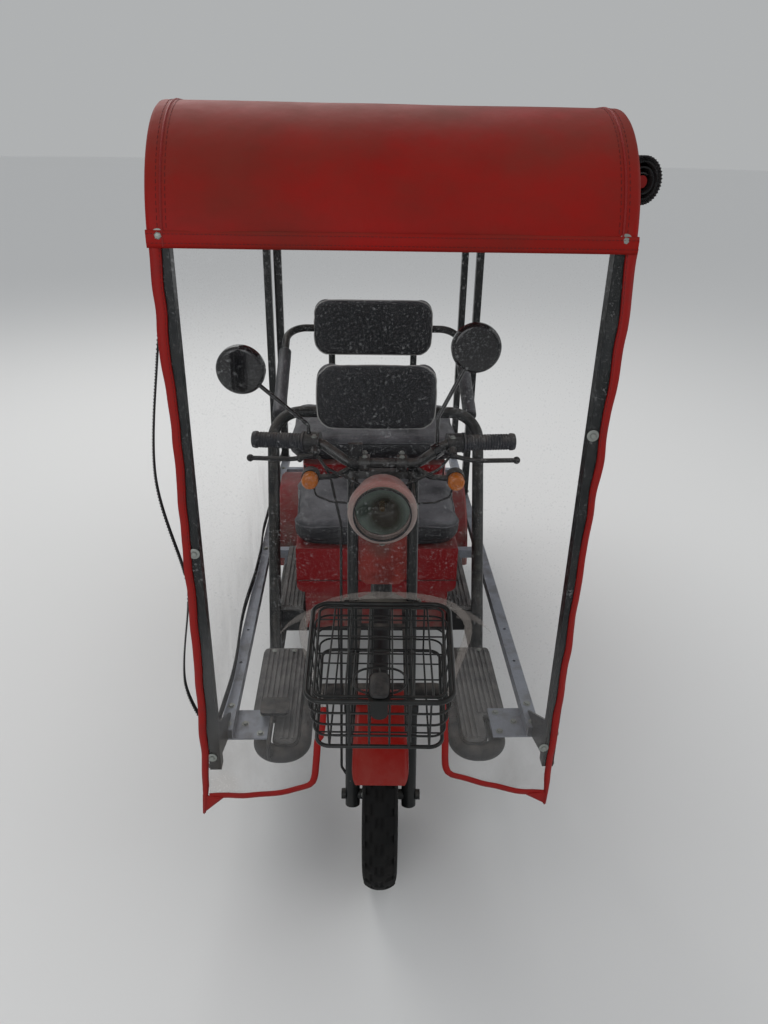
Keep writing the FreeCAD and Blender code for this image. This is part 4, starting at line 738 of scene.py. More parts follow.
def build_canopy_bars():
    """Roof rails, bows and the two header bars, with weld beads where the bows meet the rails."""
    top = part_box("roof_frame")[1][2]
    gap = 0.0005
    span = POST_X - POST_HALF - gap
    bars, welds = Batch(), Batch()
    for s in (-1, 1):
        rail = sorted((s * (POST_X - POST_HALF), s * (POST_X + POST_HALF)))
        square_bar(bars, (rail[0], -0.4195, top - 0.025), (rail[1], POST_REAR - POST_HALF - gap, top))
    for y in ROOF_BOWS[1:]:
        square_bar(bars, (-span, y - 0.010, top - 0.020), (span, y + 0.010, top))
        for s in (-1, 1):
            for side in (-1, 1):
                x, at = s * (span - 0.001), y + side * 0.0105
                welds.tube([(x, at, top - 0.019 + 0.006 * k) for k in range(4)], 0.0018, 6)
    for front, rear, foot in ((POST_FRONT - POST_HALF, POST_FRONT + POST_HALF - 0.005, HEM + 0.004),
                              (POST_REAR - POST_HALF + 0.005, POST_REAR + POST_HALF, REAR_HEM + 0.006)):
        square_bar(bars, (-span, front, foot), (span, rear, foot + 0.020))
    place(bars.made("canopy_bars", "black_paint"), "vehicle", "black_paint", "roof_frame")
    place(welds.made("canopy_welds", "black_paint"), "vehicle", "black_paint")


# Clear screen with its bindings

# Down each outer edge: height, outer and inner distance of the red binding from the middle
BINDING_RIGHT = ((1.446, 0.386, 0.366), (1.308, 0.389, 0.370), (1.134, 0.382, 0.366), (0.917, 0.386, 0.370),
                 (0.691, 0.388, 0.371), (0.431, 0.394, 0.377), (0.300, 0.399, 0.384), (0.219, 0.405, 0.399))
BINDING_LEFT = ((1.446, 0.391, 0.371), (1.316, 0.394, 0.376), (1.139, 0.388, 0.373), (0.917, 0.382, 0.369),
                (0.687, 0.380, 0.366), (0.422, 0.378, 0.362), (0.310, 0.377, 0.362), (0.236, 0.374, 0.368))
# Along each hem from the cut-out's corner outwards: distance from the middle, height
HEM_RIGHT = ((0.142, 0.430), (0.145, 0.390), (0.148, 0.355), (0.152, 0.322), (0.163, 0.302), (0.196, 0.287),
             (0.252, 0.275), (0.300, 0.272), (0.345, 0.272), (0.386, 0.272))
HEM_LEFT = ((0.130, 0.470), (0.134, 0.415), (0.136, 0.375), (0.140, 0.345), (0.154, 0.327), (0.200, 0.310),
            (0.266, 0.288), (0.312, 0.275), (0.345, 0.271), (0.366, 0.271))


def table_value(table, z, column):
    """A column of a table of rows, read between its rows by their first value, which falls."""
    for a, b in zip(table, table[1:]):
        if z >= b[0]:
            t = min(1.0, max(0.0, (z - a[0]) / (b[0] - a[0])))
            return a[column] + (b[column] - a[column]) * t
    return table[-1][column]


def film_stand(x, z):
    """How far the film stands in front of its plane, less near the posts that hold it."""
    free = max(0.0, 1.0 - (x / 0.350) ** 6)
    long_wave = 0.0040 * math.sin(5.0 * x + 2.0 * z) * math.cos(3.6 * z + 0.5)
    return free * (long_wave + 0.0022 * noise.noise((x * 5.0, z * 3.0, 1.7)))


def screen_point(x, z, ahead=0.0):
    """A point of the film, or one that stands ahead of it."""
    return Vector((x, SCREEN_Y - 0.0004 - film_stand(x, z) - ahead, z))


def flap_rows(s, line, foot, top_z):
    """A flap's grid, from the cut-out's edge outwards and from the upper screen's foot down to the hem."""
    rows = []
    for t in spread(0, 1, 32):
        k = t * (len(line) - 1)
        inner = line[int(k)].lerp(line[min(int(k) + 1, len(line) - 1)], k - int(k))
        row = []
        for i, low in enumerate(foot):
            u = i / (len(foot) - 1)
            reach = SCREEN_HALF + ((low.x - SCREEN_HALF) * t ** 3 if i == len(foot) - 1 else 0.0)
            x = inner.x + (reach - inner.x) * u
            top = top_z + 0.02 * u
            z = inner.z * (1 - u) + (top + (low.z - top) * t) * u
            row.append(screen_point(s * (x + (low.x - x) * t ** 4), z + (low.z - z) * t ** 4, -0.0012))
        rows.append(row)
    return rows


def build_screen():
    """Upper screen and two flaps beside the cut-out, with red bindings and a pale lip round the arch."""
    split = 0.787
    rows = [[screen_point(x, z) for x in spread(-SCREEN_HALF, SCREEN_HALF, 44)]
            for z in spread(SCREEN_TOP, split, 40)]
    upper = place(grid_object("screen_upper", rows, "clear_pvc"), "vehicle", "clear_pvc", "windscreen")
    arch = smooth_line([Vector((d, 0, z)) for d, z in CUTOUT], 0.02)
    # The red tape ends and the pale lip begins at this height of the arch
    for s, name, bottom, edge, change in ((-1, "right", HEM_RIGHT, BINDING_RIGHT, 0.52),
                                          (1, "left", HEM_LEFT, BINDING_LEFT, 0.556)):
        line = [p for p in arch if p.z > bottom[0][1] + 0.005][::-1]
        rows = flap_rows(s, line, smooth_line([Vector((d, 0, z)) for d, z in bottom], 0.012), split)
        flap = grid_object("screen_flap_" + name, rows, "clear_pvc")
        give_way(flap)
        around = [screen_point(s * p.x, p.z, 0.001) for p in line]
        red = [p for p in around if p.z < change]
        pale = [p for p in around if p.z >= change - 0.02]
        run = smooth_line(red + [screen_point(s * d, z, 0.001) for d, z in bottom], 0.012)
        outer_tail(name, s, edge, bottom)
        give_way(binding("hem_binding_" + name, run, 0.0076, s))
        give_way(pale_lip("flap_lip_" + name, pale, s))
        outer_binding(name, s, edge)
        crease(name, s)


def outer_tail(name, s, edge, bottom):
    """The folded red corner that hangs below the end of a hem."""
    foot_z, out = edge[-1][0], edge[-1][1]
    top_z = bottom[-1][1] + 0.004
    low = Vector((s * out, SCREEN_Y - 0.0030, foot_z))
    outer = Vector((s * table_value(edge, top_z, 1), SCREEN_Y - 0.0030, top_z))
    inner = Vector((s * (out - 0.052), SCREEN_Y - 0.0026, top_z - 0.008))
    rows = []
    for t in spread(0, 1, 8):
        a, b = outer.lerp(low, t), inner.lerp(low, t)
        rows.append([a.lerp(b, u) + Vector((0, -0.0022 * math.sin(math.pi * u) * (1 - t), 0))
                     for u in spread(0, 1, 6)])
    place(grid_object("hem_tail_" + name, rows, "red_hem", thick=0.0018), "vehicle", "red_vinyl")


def crease(name, s):
    """The milky fold that runs outwards from the arch, where the film bends round the basket's corner."""
    line = smooth_line([Vector((s * x, 0, z)) for x, z in
                        ((0.140, 0.752), (0.166, 0.744), (0.192, 0.728), (0.212, 0.706))], 0.005)
    rows = []
    for k, p in enumerate(line):
        t = k / (len(line) - 1)
        wide = 0.024 * (1 - t) + 0.002
        mid = screen_point(p.x, p.z, 0.0020)
        rows.append([mid + Vector((0, 0.0010 - 0.0035 * math.sin(math.pi * u), wide * (0.5 - u)))
                     for u in spread(0, 1, 4)])
    o = grid_object("film_crease_" + name, rows, "film_edge")
    give_way(o)


def give_way(o):
    """Bakes the piece's placement into its mesh."""
    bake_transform(o)


def binding(name, run, half, s):
    """Folded red tape round a free edge, a little wavy, along a line of points."""
    section = ((-half, 0.0), (-half * 0.9, -0.0014), (0.0, -0.0021), (half * 0.9, -0.0014), (half, 0.0),
               (half * 0.9, 0.0012), (0.0, 0.0016), (-half * 0.9, 0.0012))
    rows = []
    for i, p in enumerate(run):
        across = Y.cross(direction(run, i)).normalized()
        wave = 0.0012 * math.sin(i * 0.9) + 0.0008 * noise.noise((i * 0.31, s, 0.0))
        p = p + Vector((0, wave - 0.0015, 0))
        rows.append([p + across * a + Vector((0, d, 0)) for a, d in section])
    o = grid_object(name, rows, "red_hem", close_v=True, caps=True)
    return o


def pale_lip(name, run, s):
    """The film's folded edge round the arch: a milky strip with a thicker rim."""
    rows = []
    middle = Vector((0.0, SCREEN_Y, 0.62))
    for i, p in enumerate(run):
        outward = Y.cross(direction(run, i)).normalized()
        if outward.dot(p - middle) < 0:
            outward = -outward
        wide = 0.013 + 0.003 * noise.noise((i * 0.23, s, 3.0))
        rows.append([p + outward * a + Vector((0, d, 0)) for a, d in
                     ((-0.0020, 0.0), (0.0002, -0.0028), (0.0030, -0.0022), (wide, -0.0012),
                      (wide + 0.001, -0.0004), (0.0030, 0.0008), (-0.0006, 0.0016))])
    o = grid_object(name, rows, "film_edge", close_v=True, caps=True)
    return o


def outer_binding(name, s, edge):
    """The wavy red edge down the outside of a front post, ending in a tail below the hem."""
    heights = spread(edge[0][0], edge[-1][0], 150)

    def wander(z):
        return 0.0016 * noise.noise((z * 19.0, s, 0.0)) + 0.0010 * math.sin(z * 47.0 + s)

    rows = []
    for z in heights:
        out, inn = table_value(edge, z, 1), table_value(edge, z, 2)
        lift = 0.0030 * noise.noise((z * 9.0, 4.0 + s, 0.0)) + 0.0016 * math.sin(z * 31.0)
        back = 0.010 + 0.004 * noise.noise((z * 7.0, 9.0 + s, 0.0))
        section = ((inn, -0.0004), (inn + 0.002, -0.0026), (0.5 * (out + inn), -0.0040 - max(0.0, lift)),
                   (out - 0.001, -0.0022 - lift), (out, 0.0010 - lift * 0.5), (out - 0.001, back),
                   (out - 0.0035, back), (out - 0.0035, 0.0012))
        rows.append([Vector((s * (x + wander(z)), SCREEN_Y - 0.0016 + d, z)) for x, d in section])
    o = grid_object("edge_binding_" + name, rows, "red_hem", close_v=True, caps=True)
    place(o, "vehicle", "red_vinyl")
    thread = Batch()
    run = [Vector((s * (table_value(edge, z, 2) + wander(z) + 0.0030), SCREEN_Y - 0.0048, z))
           for z in heights[::2]]
    dashes(thread, run, 0.008)
    place(thread.made("edge_stitches_" + name, "dark_thread", smooth=False), "vehicle", "red_vinyl")


# Curtains

def curtain_sway(y, z):
    """How far the hanging film stands off its plane: soft upright folds that grow towards its foot."""
    low = min(1.0, max(0.0, (CURTAIN_TOP - 0.05 - z) / 0.9))
    held = min(1.0, max(0.0, (y - CURTAIN_Y[0]) / 0.08)) * min(1.0, max(0.0, (CURTAIN_Y[1] - y) / 0.08))
    folds = 0.0050 * math.sin(11.0 * y + 1.2 * z) + 0.0030 * noise.noise((y * 6.0, z * 2.5, 8.0))
    return low * held * folds


def build_curtain():
    """The side curtain that hangs on the vehicle's right: clear film, black zip strips and a red head."""
    front, rear = CURTAIN_Y
    rows = []
    for t in spread(0, 1, 50):
        row = []
        for y in spread(front, rear, 70):
            corner = max(0.0, front + CURTAIN_BEND - y)
            top = CURTAIN_TOP - CURTAIN_BEND + math.sqrt(max(0.0, CURTAIN_BEND ** 2 - corner ** 2))
            z = top + (CURTAIN_FOOT - top) * t
            row.append(Vector((CURTAIN_X - 0.0006 + curtain_sway(y, z), y, z)))
        rows.append(row)
    curtain = place(grid_object("curtain_hung", rows, "clear_pvc"), "vehicle", "clear_pvc", "hanging_curtain")
    edges, head = Batch(), Batch()
    for run, width in (([r[0] for r in rows], 0.022), ([r[-1] for r in rows], 0.022), (rows[-1], 0.026)):
        ribbon(edges, run, width)
    place(edges.made("curtain_tapes", "zip_tape"), "vehicle", "clear_pvc")
    ribbon(head, rows[0], 0.030)
    place(head.made("curtain_head", "red_hem"), "vehicle", "clear_pvc")
    build_loose_tape()


def build_loose_tape():
    """The opened zip's half that bows out ahead of the hanging curtain."""
    line = smooth_line([Vector((CURTAIN_X - 0.0020 - d, TAPE_Y, z)) for d, z in LOOSE_TAPE], 0.012)
    tape, teeth = Batch(), Batch()
    half, thin = Vector((0, 0.0065, 0)), Vector((0.0006, 0, 0))
    tape.rows([[p - half - thin, p - half + thin, p + half + thin, p + half - thin] for p in line], caps=True)
    place(tape.made("loose_zip_tape", "zip_tape"), "vehicle", "clear_pvc")
    for a, b in zip(line, line[1:]):
        for t in (0.0, 0.5):
            p = a.lerp(b, t) - half
            teeth.block(p - Vector((0.0014, 0.0022, 0.0011)), p + Vector((0.0014, 0.0006, 0.0011)))
    place(teeth.made("loose_zip_teeth", "black_plastic", smooth=False), "vehicle", "clear_pvc")


def ribbon(batch, run, width):
    """A flat strip along an edge of the hanging curtain, reaching in from it, on both sides of the film."""
    rows = []
    thick = X * 0.0016
    inward_hint = Vector((CURTAIN_X, 0.2, 1.0)) - sum(run, Vector()) / len(run)
    for i, p in enumerate(run):
        inward = X.cross(direction(run, i)).normalized()
        if inward.dot(inward_hint) < 0:
            inward = -inward
        rows.append([p - thick, p + inward * width - thick, p + inward * width + thick, p + thick])
    batch.rows(rows, caps=True)


def build_roll():
    """The side curtain rolled up on the vehicle's left: a spiral of film and tape round a red core."""
    c = ROLL_MIDDLE
    turns, steps = 3.6, 150
    flat, tall = ROLL_HALF_WIDTH - 0.002, ROLL_HALF_HEIGHT - 0.002
    front, rear = ROLL_Y

    def at(t, y):
        """A point of the spiral, t of the way out from its start."""
        a = 2 * math.pi * turns * t + 0.9
        r = 0.30 + 0.70 * t
        slump = 1.0 + 0.05 * math.sin(y * 6.0) + 0.03 * noise.noise((y * 4.0, t * 2.0, 0.0))
        k = min(slump, 1.0 / r if r * slump > 1.0 else slump)
        return Vector((c.x + flat * r * k * math.cos(a), y, c.z + tall * r * k * math.sin(a)))

    def oval(y, wide, high, sides, share=1.0):
        """Points round the roll's outline, scaled by share."""
        return [Vector((c.x + share * wide * math.cos(a), y, c.z + share * high * math.sin(a)))
                for a in (2 * math.pi * k / sides for k in range(sides))]

    rows = []
    for j, y in enumerate(spread(front, rear, 60)):
        y += 0.0010 * math.sin(3.0 * j) if front < y < rear else 0.0
        rows.append([at(t, y) for t in spread(0, 1, steps)])
    spiral = place(grid_object("curtain_spiral", rows, "curtain_film", thick=0.0022), "vehicle",
                   "curtain_film", "curtain_roll")
    core, teeth, ties = Batch(), Batch(), Batch()
    core.rows([oval(y, flat, tall, 20, 0.24) for y in (front + 0.002, rear - 0.002)], caps=True)
    place(core.made("curtain_core", "red_hem"), "vehicle", "curtain_film")
    for y, out in ((front, -1), (rear, 1)):
        for i in range(26, steps):
            p, q = at(i / steps, y), Vector((0, out, 0))
            teeth.tube([p - q * 0.002, p + q * 0.0035], 0.0016, 4)
    place(teeth.made("curtain_teeth", "black_plastic", smooth=False), "vehicle", "curtain_film")
    wide, high = ROLL_HALF_WIDTH - 0.0008, ROLL_HALF_HEIGHT - 0.0008
    for y in (-0.52, -0.05, 0.42, 0.88):
        loops = [oval(y + d, wide, high, 48, share)
                 for d, share in ((-0.011, 1.0), (0.011, 1.0), (0.011, 1.03), (-0.011, 1.03))]
        ties.rows(list(zip(*loops)), close_u=True)
    place(ties.made("curtain_ties", "red_hem"), "vehicle", "curtain_film")


# Tyres

def tyre_section():
    """(x, radius, on the tread) points across a tyre."""
    pts = [(TYRE_HALF * 0.72, BEAD_R - 0.001, 0), (TYRE_HALF * 0.74, BEAD_R + 0.012, 0)]
    for i in range(9):
        a = -0.62 + 1.5 * i / 8
        pts.append((TYRE_HALF * (0.86 + 0.14 * math.cos(1.9 * a)) - max(0.0, a - 0.5) * 0.006,
                    BEAD_R + 0.016 + 0.052 * (i + 1) / 9, 0))
    shoulder, crown = math.radians(52), 0.0135
    for i in range(8):
        a = math.radians(52 - 52 * i / 7)
        rise = (math.cos(a) - math.cos(shoulder)) / (1 - math.cos(shoulder))
        pts.append((TYRE_HALF * 0.90 * math.sin(a) / math.sin(shoulder), TYRE_R - crown + crown * rise, 1))
    return pts + [(-x, r, t) for x, r, t in reversed(pts[:-1])]


def build_tyres():
    """Road tyres with zigzag grooves and shoulder slots cut into their treads."""
    section, n = tyre_section(), 264
    for name, (body, node, _, center) in WHEELS.items():
        rows = []
        for i in range(n):
            a = 2 * math.pi * i / n
            zig = 0.0035 if (i // 6) % 2 else -0.0035
            row = []
            for x, r, tread in section:
                groove = abs(abs(x) - 0.011 - zig) < 0.0027
                slot = abs(x) > 0.021 and (i + (3 if x > 0 else 0)) % 12 < 3
                r -= 0.0042 if tread and (groove or slot) else 0.0
                row.append((center[0] + x, center[1] + r * math.cos(a), center[2] + r * math.sin(a)))
            rows.append(row)
        tyre = grid_object("tyre_" + name, rows, "tyre", close_u=True)
        soft_edges(tyre, 38)
        place(tyre, body, "tyre", node)


# Cushions

# Each pad: low and high corner, corner radius, finish, how far it swells, the axis it crowns along, how much
# narrower its front is, its remesh size, how full it is and the node it stands for
PADS = {
    "driver_seat": ((-0.262, -0.176, 0.5453), (0.262, 0.202, 0.6273), 0.060, "black_vinyl", 0.015, "z", 0.05,
                    0.0085, 0.7, ["driver_cushions"]),
    "driver_back": ((-0.184, 0.1067, 0.800), (0.184, 0.1527, 1.010), 0.046, "back_vinyl", 0.009, "y", 0.0,
                    0.006, 0.8, []),
    "passenger_bench": ((-0.295, 0.243, 0.6353), (0.295, 0.656, 0.7173), 0.050, "black_vinyl", 0.014, "z",
                        0.0, 0.0085, 0.7, ["passenger_cushions"]),
    "passenger_back": ((-0.216, 0.6567, 0.883), (0.216, 0.7027, 1.093), 0.046, "back_vinyl", 0.009, "y",
                       0.0, 0.006, 0.8, []),
}


def puffed(name, low, high, corner, finish, cap, face, slim, voxel, fill, nodes):
    """A closed pad that cloth simulation swells."""
    axes = {"z": (0, 1, 2), "y": (0, 2, 1)}[face]
    half = [(high[a] - low[a]) / 2 for a in axes]
    mid = [(high[a] + low[a]) / 2 for a in axes]
    inset = cap * 0.55
    w, d, h = half[0] - inset, half[1] - inset, half[2] - cap * 0.35
    ring = rounded_ring(w, d, min(corner, min(w, d) * 0.95), 7)
    rows = []
    # Height within the pad and how wide it is there
    for level, share in ((-h, 0.86), (-h * 0.80, 0.965), (-h * 0.45, 1.0), (0.0, 1.0), (h * 0.45, 1.0),
                         (h * 0.80, 0.965), (h, 0.86)):
        pull = min(w, d) * (1 - share)
        row = []
        for a, b in ring:
            la, lb = a * (w - pull) / w, b * (d - pull) / d
            la *= 1.0 - slim * max(0.0, -lb / d)
            p = [0.0, 0.0, 0.0]
            p[axes[0]], p[axes[1]], p[axes[2]] = mid[0] + la, mid[1] + lb, mid[2] + level
            row.append(p)
        rows.append(row)
    faces = grid(rows, close_v=True) + end_caps(len(rows), len(ring))
    if face == "y":
        faces = [f[::-1] for f in faces]
    o = mesh_object(name, [p for r in rows for p in r], faces, finish)
    apply_modifier(o, "REMESH", mode="VOXEL", voxel_size=voxel)
    swell(o, cap, axes[2], mid[2] - half[2] + 0.006)
    keep_inside(o, low, high)
    o.data.polygons.foreach_set("use_smooth", [True] * len(o.data.polygons))
    o.modifiers.new("smooth", "SMOOTH").iterations = 2
    fine = o.modifiers.new("fine", "SUBSURF")
    fine.levels = fine.render_levels = 1
    place(o, "vehicle", "black_vinyl", *nodes)
    return o


def apply_modifier(o, kind, **values):
    """Adds a modifier, applies it and keeps the material."""
    finish = o.data.materials[0]
    m = o.modifiers.new("work", kind)
    for key, value in values.items():
        setattr(m, key, value)
    made = bpy.data.meshes.new_from_object(o.evaluated_get(bpy.context.evaluated_depsgraph_get()))
    o.modifiers.clear()
    o.data = made
    o.data.materials.clear()
    o.data.materials.append(finish)


def swell(o, cap, axis, held_below):
    """Inflates the closed pad as cloth, with its underside held, and limits how far a point moves."""
    frames = 20
    rest = [v.co.copy() for v in o.data.vertices]
    pin = o.vertex_groups.new(name="held")
    pin.add([i for i, p in enumerate(rest) if p[axis] < held_below], 1.0, "REPLACE")
    m = o.modifiers.new("cloth", "CLOTH")
    m.settings.quality = 4
    m.settings.use_pressure = True
    m.settings.uniform_pressure_force = 4.0
    m.settings.effector_weights.gravity = 0.0
    m.settings.vertex_group_mass = "held"
    m.settings.tension_stiffness = 12.0
    m.settings.bending_stiffness = 1.5
    m.collision_settings.use_collision = False
    m.point_cache.frame_end = frames
    scene = bpy.context.scene
    for f in range(1, frames + 1):
        scene.frame_set(f)
    swollen = o.evaluated_get(bpy.context.evaluated_depsgraph_get())
    moved = [v.co.copy() for v in swollen.data.vertices]
    o.modifiers.remove(m)
    scene.frame_set(1)
    for v, a, b in zip(o.data.vertices, rest, moved):
        step = b - a
        v.co = a + step * min(1.0, cap / max(step.length, 1e-9))
    o.vertex_groups.clear()


def keep_inside(o, low, high):
    """Presses points that swelled past the pad's space back to it, softly."""
    for v in o.data.vertices:
        for k in range(3):
            if v.co[k] > high[k]:
                v.co[k] = high[k] + min(0.002, (v.co[k] - high[k]) * 0.3)
            if v.co[k] < low[k]:
                v.co[k] = low[k] - min(0.0005, (low[k] - v.co[k]) * 0.3)


def build_cushions():
    """Driver's seat and back pad, passengers' bench and back pad, each with a stitched welt."""
    for name, pad in PADS.items():
        welts(puffed(name, *pad), name, *pad[:2], pad[5])


def welts(o, name, low, high, face):
    """A welted and stitched seam round a pad, laid on its swollen surface."""
    share, radius, finish, shift = {"z": (0.80, 0.0028, "black_vinyl", Vector((0, 0, -0.008))),
                                    "y": (0.22, 0.0022, "pale_piping", Vector((0, 0.006, 0)))}[face]
    crown, flat = (2, 1) if face == "z" else (1, 2)
    shape = o.evaluated_get(bpy.context.evaluated_depsgraph_get())
    start = Vector([(a + b) / 2 for a, b in zip(low, high)])
    start[crown] = low[crown] + (high[crown] - low[crown]) * share
    piping, thread, ring = Batch(), Batch(), []
    for a in (2 * math.pi * k / 140 for k in range(140)):
        way = X * (math.cos(a) * (high[0] - low[0]))
        way[flat] = math.sin(a) * (high[flat] - low[flat])
        hit, spot, normal, _ = shape.ray_cast(start + way * 2, -way.normalized())
        if hit:
            ring.append(spot + normal * 0.0004)
    piping.tube(ring, radius, 6, closed=True)
    dashes(thread, [p + shift for p in ring + ring[:1]], 0.008)
    place(piping.made(name + "_welt", finish), "vehicle", "black_vinyl")
    place(thread.made(name + "_stitches", "dark_thread", smooth=False), "vehicle", "black_vinyl")


def build_arm_rests():
    """Foam sleeves on the arm rails, with worn ends."""
    # (distance along the rail, share of the sleeve's radius)
    profile = [(-0.008, 0.62), (-0.0075, 0.86), (-0.004, 0.965), (0.002, 1.0)]
    profile += [(0.010 + 0.030 * k, 1.0 + 0.012 * math.sin(k * 1.7)) for k in range(11)]
    profile += [(0.316, 0.985), (0.3195, 0.90), (0.320, 0.65)]
    for s, name, nodes in ((-1, "arm_rest_right", []), (1, "arm_rest_left", ["arm_rests"])):
        a, b = Vector((s * 0.309, 0.300, 0.790)), Vector((s * 0.309, 0.716, 0.975))
        along = (b - a).normalized()
        rows = [circle(a + along * d, X, along.cross(X), 0.0218 * r, 28) for d, r in profile]
        o = grid_object(name, rows, "sleeve_foam", close_v=True, caps=True)
        place(o, "vehicle", "black_vinyl", *nodes)


# Small parts

def build_bolts():
    """Screws with washers through the film, bolts on rails and plates, nuts and valves on the wheels."""
    film_screws, frame_bolts = Batch(), Batch()
    for x, z in ((-0.369, 1.456), (0.367, 1.458), (-0.365, 0.888), (0.361, 1.128), (-0.372, 0.382),
                 (0.352, 0.401)):
        at = (x, SCREEN_Y - (0.0040 if z > SCREEN_TOP else 0.0010), z)
        film_screws.turned([(0.0108, 0.0), (0.0108, 0.0010), (0.0090, 0.0018)], at, -Y, 22)
        film_screws.turned([(0.0060, 0.0015), (0.0060, 0.0038), (0.0044, 0.0054), (0.0008, 0.0060)],
                           at, -Y, 6)
    place(film_screws.made("film_screws", "bolt"), "vehicle", "galvanised")
    for s in (-1, 1):
        for y in (-0.640, -0.575, 0.231, 0.938):
            frame_bolts.hex_bolt((s * RAIL_X, y, RAIL_TOP - 0.0005), Z, 0.0065, 0.005)
        for x, y in ((0.290, -0.640), (0.290, -0.572), (0.330, -0.606)):
            frame_bolts.hex_bolt((s * x, y, 0.3025), Z, 0.0060, 0.005)
        for y, z in ((POST_FRONT, 0.345), (POST_FRONT, 0.430), (0.680, 0.345), (POST_REAR, 0.345)):
            frame_bolts.hex_bolt((s * (POST_X + POST_HALF - 0.0005), y, z), X * s, 0.0055, 0.0045)
    place(frame_bolts.made("frame_bolts", "bolt"), "vehicle", "galvanised")
    for name, (body, _, rim, center) in WHEELS.items():
        hub, center = Batch(), Vector(center)
        count, radius, probe = (3, 0.034, 0.020) if name == "front" else (5, 0.046, 0.046)
        for s in (-1, 1):
            face = rim_face(NODES[rim], center, s, probe)
            for at in circle(center, Y, Z, radius, count, 0.3):
                hub.hex_bolt((face, at.y, at.z), X * s, 0.0055, 0.0045)
        valve = center + Vector((0, 0.102 * math.cos(0.9), 0.102 * math.sin(0.9)))
        hub.turned([(0.0042, 0.0), (0.0038, 0.016), (0.0044, 0.017), (0.0044, 0.024), (0.0030, 0.026)],
                   valve + X * 0.010, (center - valve).normalized() + X * 0.5, 12)
        place(hub.made("hub_" + name, "bolt"), body, "rim_black")


def rim_face(rim, center, s, radius):
    """X of the outermost part of a rim's disc near a radius, seen from one side."""
    xs = []
    for at in circle(center, Y, Z, radius, 8, 0.3):
        hit, spot, _, _ = rim.ray_cast(at + X * (s * 0.2), X * -s)
        if hit:
            xs.append(spot.x)
    return (min if s > 0 else max)(xs)


def build_grips():
    """Ribbed rubber grips with flanges, lever pivots and clamp bolts."""
    rubber, metal = Batch(), Batch()
    profile = [(0.012, -0.0050), (0.0178, -0.0045), (0.0188, 0.0), (0.0188, 0.0050), (0.0168, 0.0070)]
    for d in (0.010 + k * 0.0060 for k in range(16)):
        profile += [(0.0162, d), (0.0176, d + 0.0015), (0.0176, d + 0.0035), (0.0162, d + 0.0050)]
    profile += [(0.0220, 0.1065), (0.0222, 0.1115), (0.0130, 0.1120)]
    for s in (-1, 1):
        end, bend = (Vector((s * p.x, p.y, p.z)) for p in (BAR_END, BAR_BEND))
        along = (bend - end).normalized()
        rubber.turned(profile, end, along, 28)
        pivot = end + along * 0.134
        for up, lift in ((-1, -0.018), (1, 0.0165)):
            metal.hex_bolt(pivot + Vector((0, -0.014, lift)), Z * up, 0.0045, 0.004)
        metal.hex_bolt(end + along * 0.124 + Vector((0, 0.020, 0.004)), (0, 1, 0.2), 0.0035, 0.003)
    for x in (-0.040, 0.040):
        for y in (-0.557, -0.533):
            metal.hex_bolt((x, y, 0.9865), Z, 0.0042, 0.0045)
    place(rubber.made("grip_ribs", "rubber"), "steering", "black_plastic", "grips")
    place(metal.made("bar_bolts", "bolt"), "steering", "black_plastic")


def build_mirrors():
    """Silvered glass and a thin rim behind each round mirror's shell, which faces the rider."""
    glass, rim = Batch(), Batch()
    for x, z in ((-0.300, 1.160), (0.190, 1.210)):
        back = Vector((x, -0.500, z))
        glass.turned([(0.0475, 0.0), (0.0475, 0.0006), (0.030, 0.0014), (0.0005, 0.0020)], back, Y, 44)
        rim.tube(circle(back + Y * 0.0006, X, Z, 0.0492, 56), 0.0024, 8, closed=True)
    place(glass.made("mirror_glass", "mirror_face"), "steering", "black_plastic")
    place(rim.made("mirror_rims", "black_plastic"), "steering", "black_plastic")


def build_lamp():
    """Inside of the headlamp: reflector, bulb with holder, gasket inside the ring and the glass's flutes."""
    c = Vector((0, LAMP_Y, LAMP_Z))
    bowl, bulb, ring, flutes, screw = (Batch() for _ in range(5))
    bowl.rows([circle(c + Y * (0.012 + 0.036 * t), X, Z, 0.0545 * math.sqrt(1 - t) + 0.0075 * t, 44)
               for t in spread(0, 1, 13)])
    place(bowl.made("lamp_reflector", "reflector"), "steering", "lamp_glass")
    bulb.turned([(0.0085, 0.044), (0.0085, 0.036), (0.0062, 0.034), (0.0070, 0.024), (0.0052, 0.017),
                 (0.0010, 0.0155)], c, Y, 20)
    place(bulb.made("lamp_bulb", "lamp_bulb"), "steering", "lamp_glass")
    ring.rows([circle(c + Y * d, X, Z, r, 60)
               for r, d in ((0.0588, -0.0128), (0.0560, -0.0122), (0.0555, -0.0090), (0.0585, -0.0085))],
              close_u=True)
    place(ring.made("lamp_gasket", "black_plastic"), "steering", "faded_red")
    reach = 0.054
    for x in (k * 0.0062 for k in range(-8, 9)):
        half = math.sqrt(reach ** 2 - x ** 2)
        flutes.tube([c + Vector((x, -0.0080 - 0.0022 * (1 - (x / reach) ** 2 - (z / reach) ** 2), z))
                     for z in spread(-half, half, 12)], 0.0007, 5)
    place(flutes.made("lamp_flutes", "lamp_glass"), "steering", "lamp_glass")
    screw.bolt(c + Vector((0, 0.002, -0.0705)), -Z, 0.004, 0.004)
    for s in (-1, 1):
        screw.hex_bolt(c + Vector((s * 0.0665, 0.034, 0)), X * s, 0.006, 0.005)
    place(screw.made("lamp_screws", "bolt"), "steering", "faded_red")


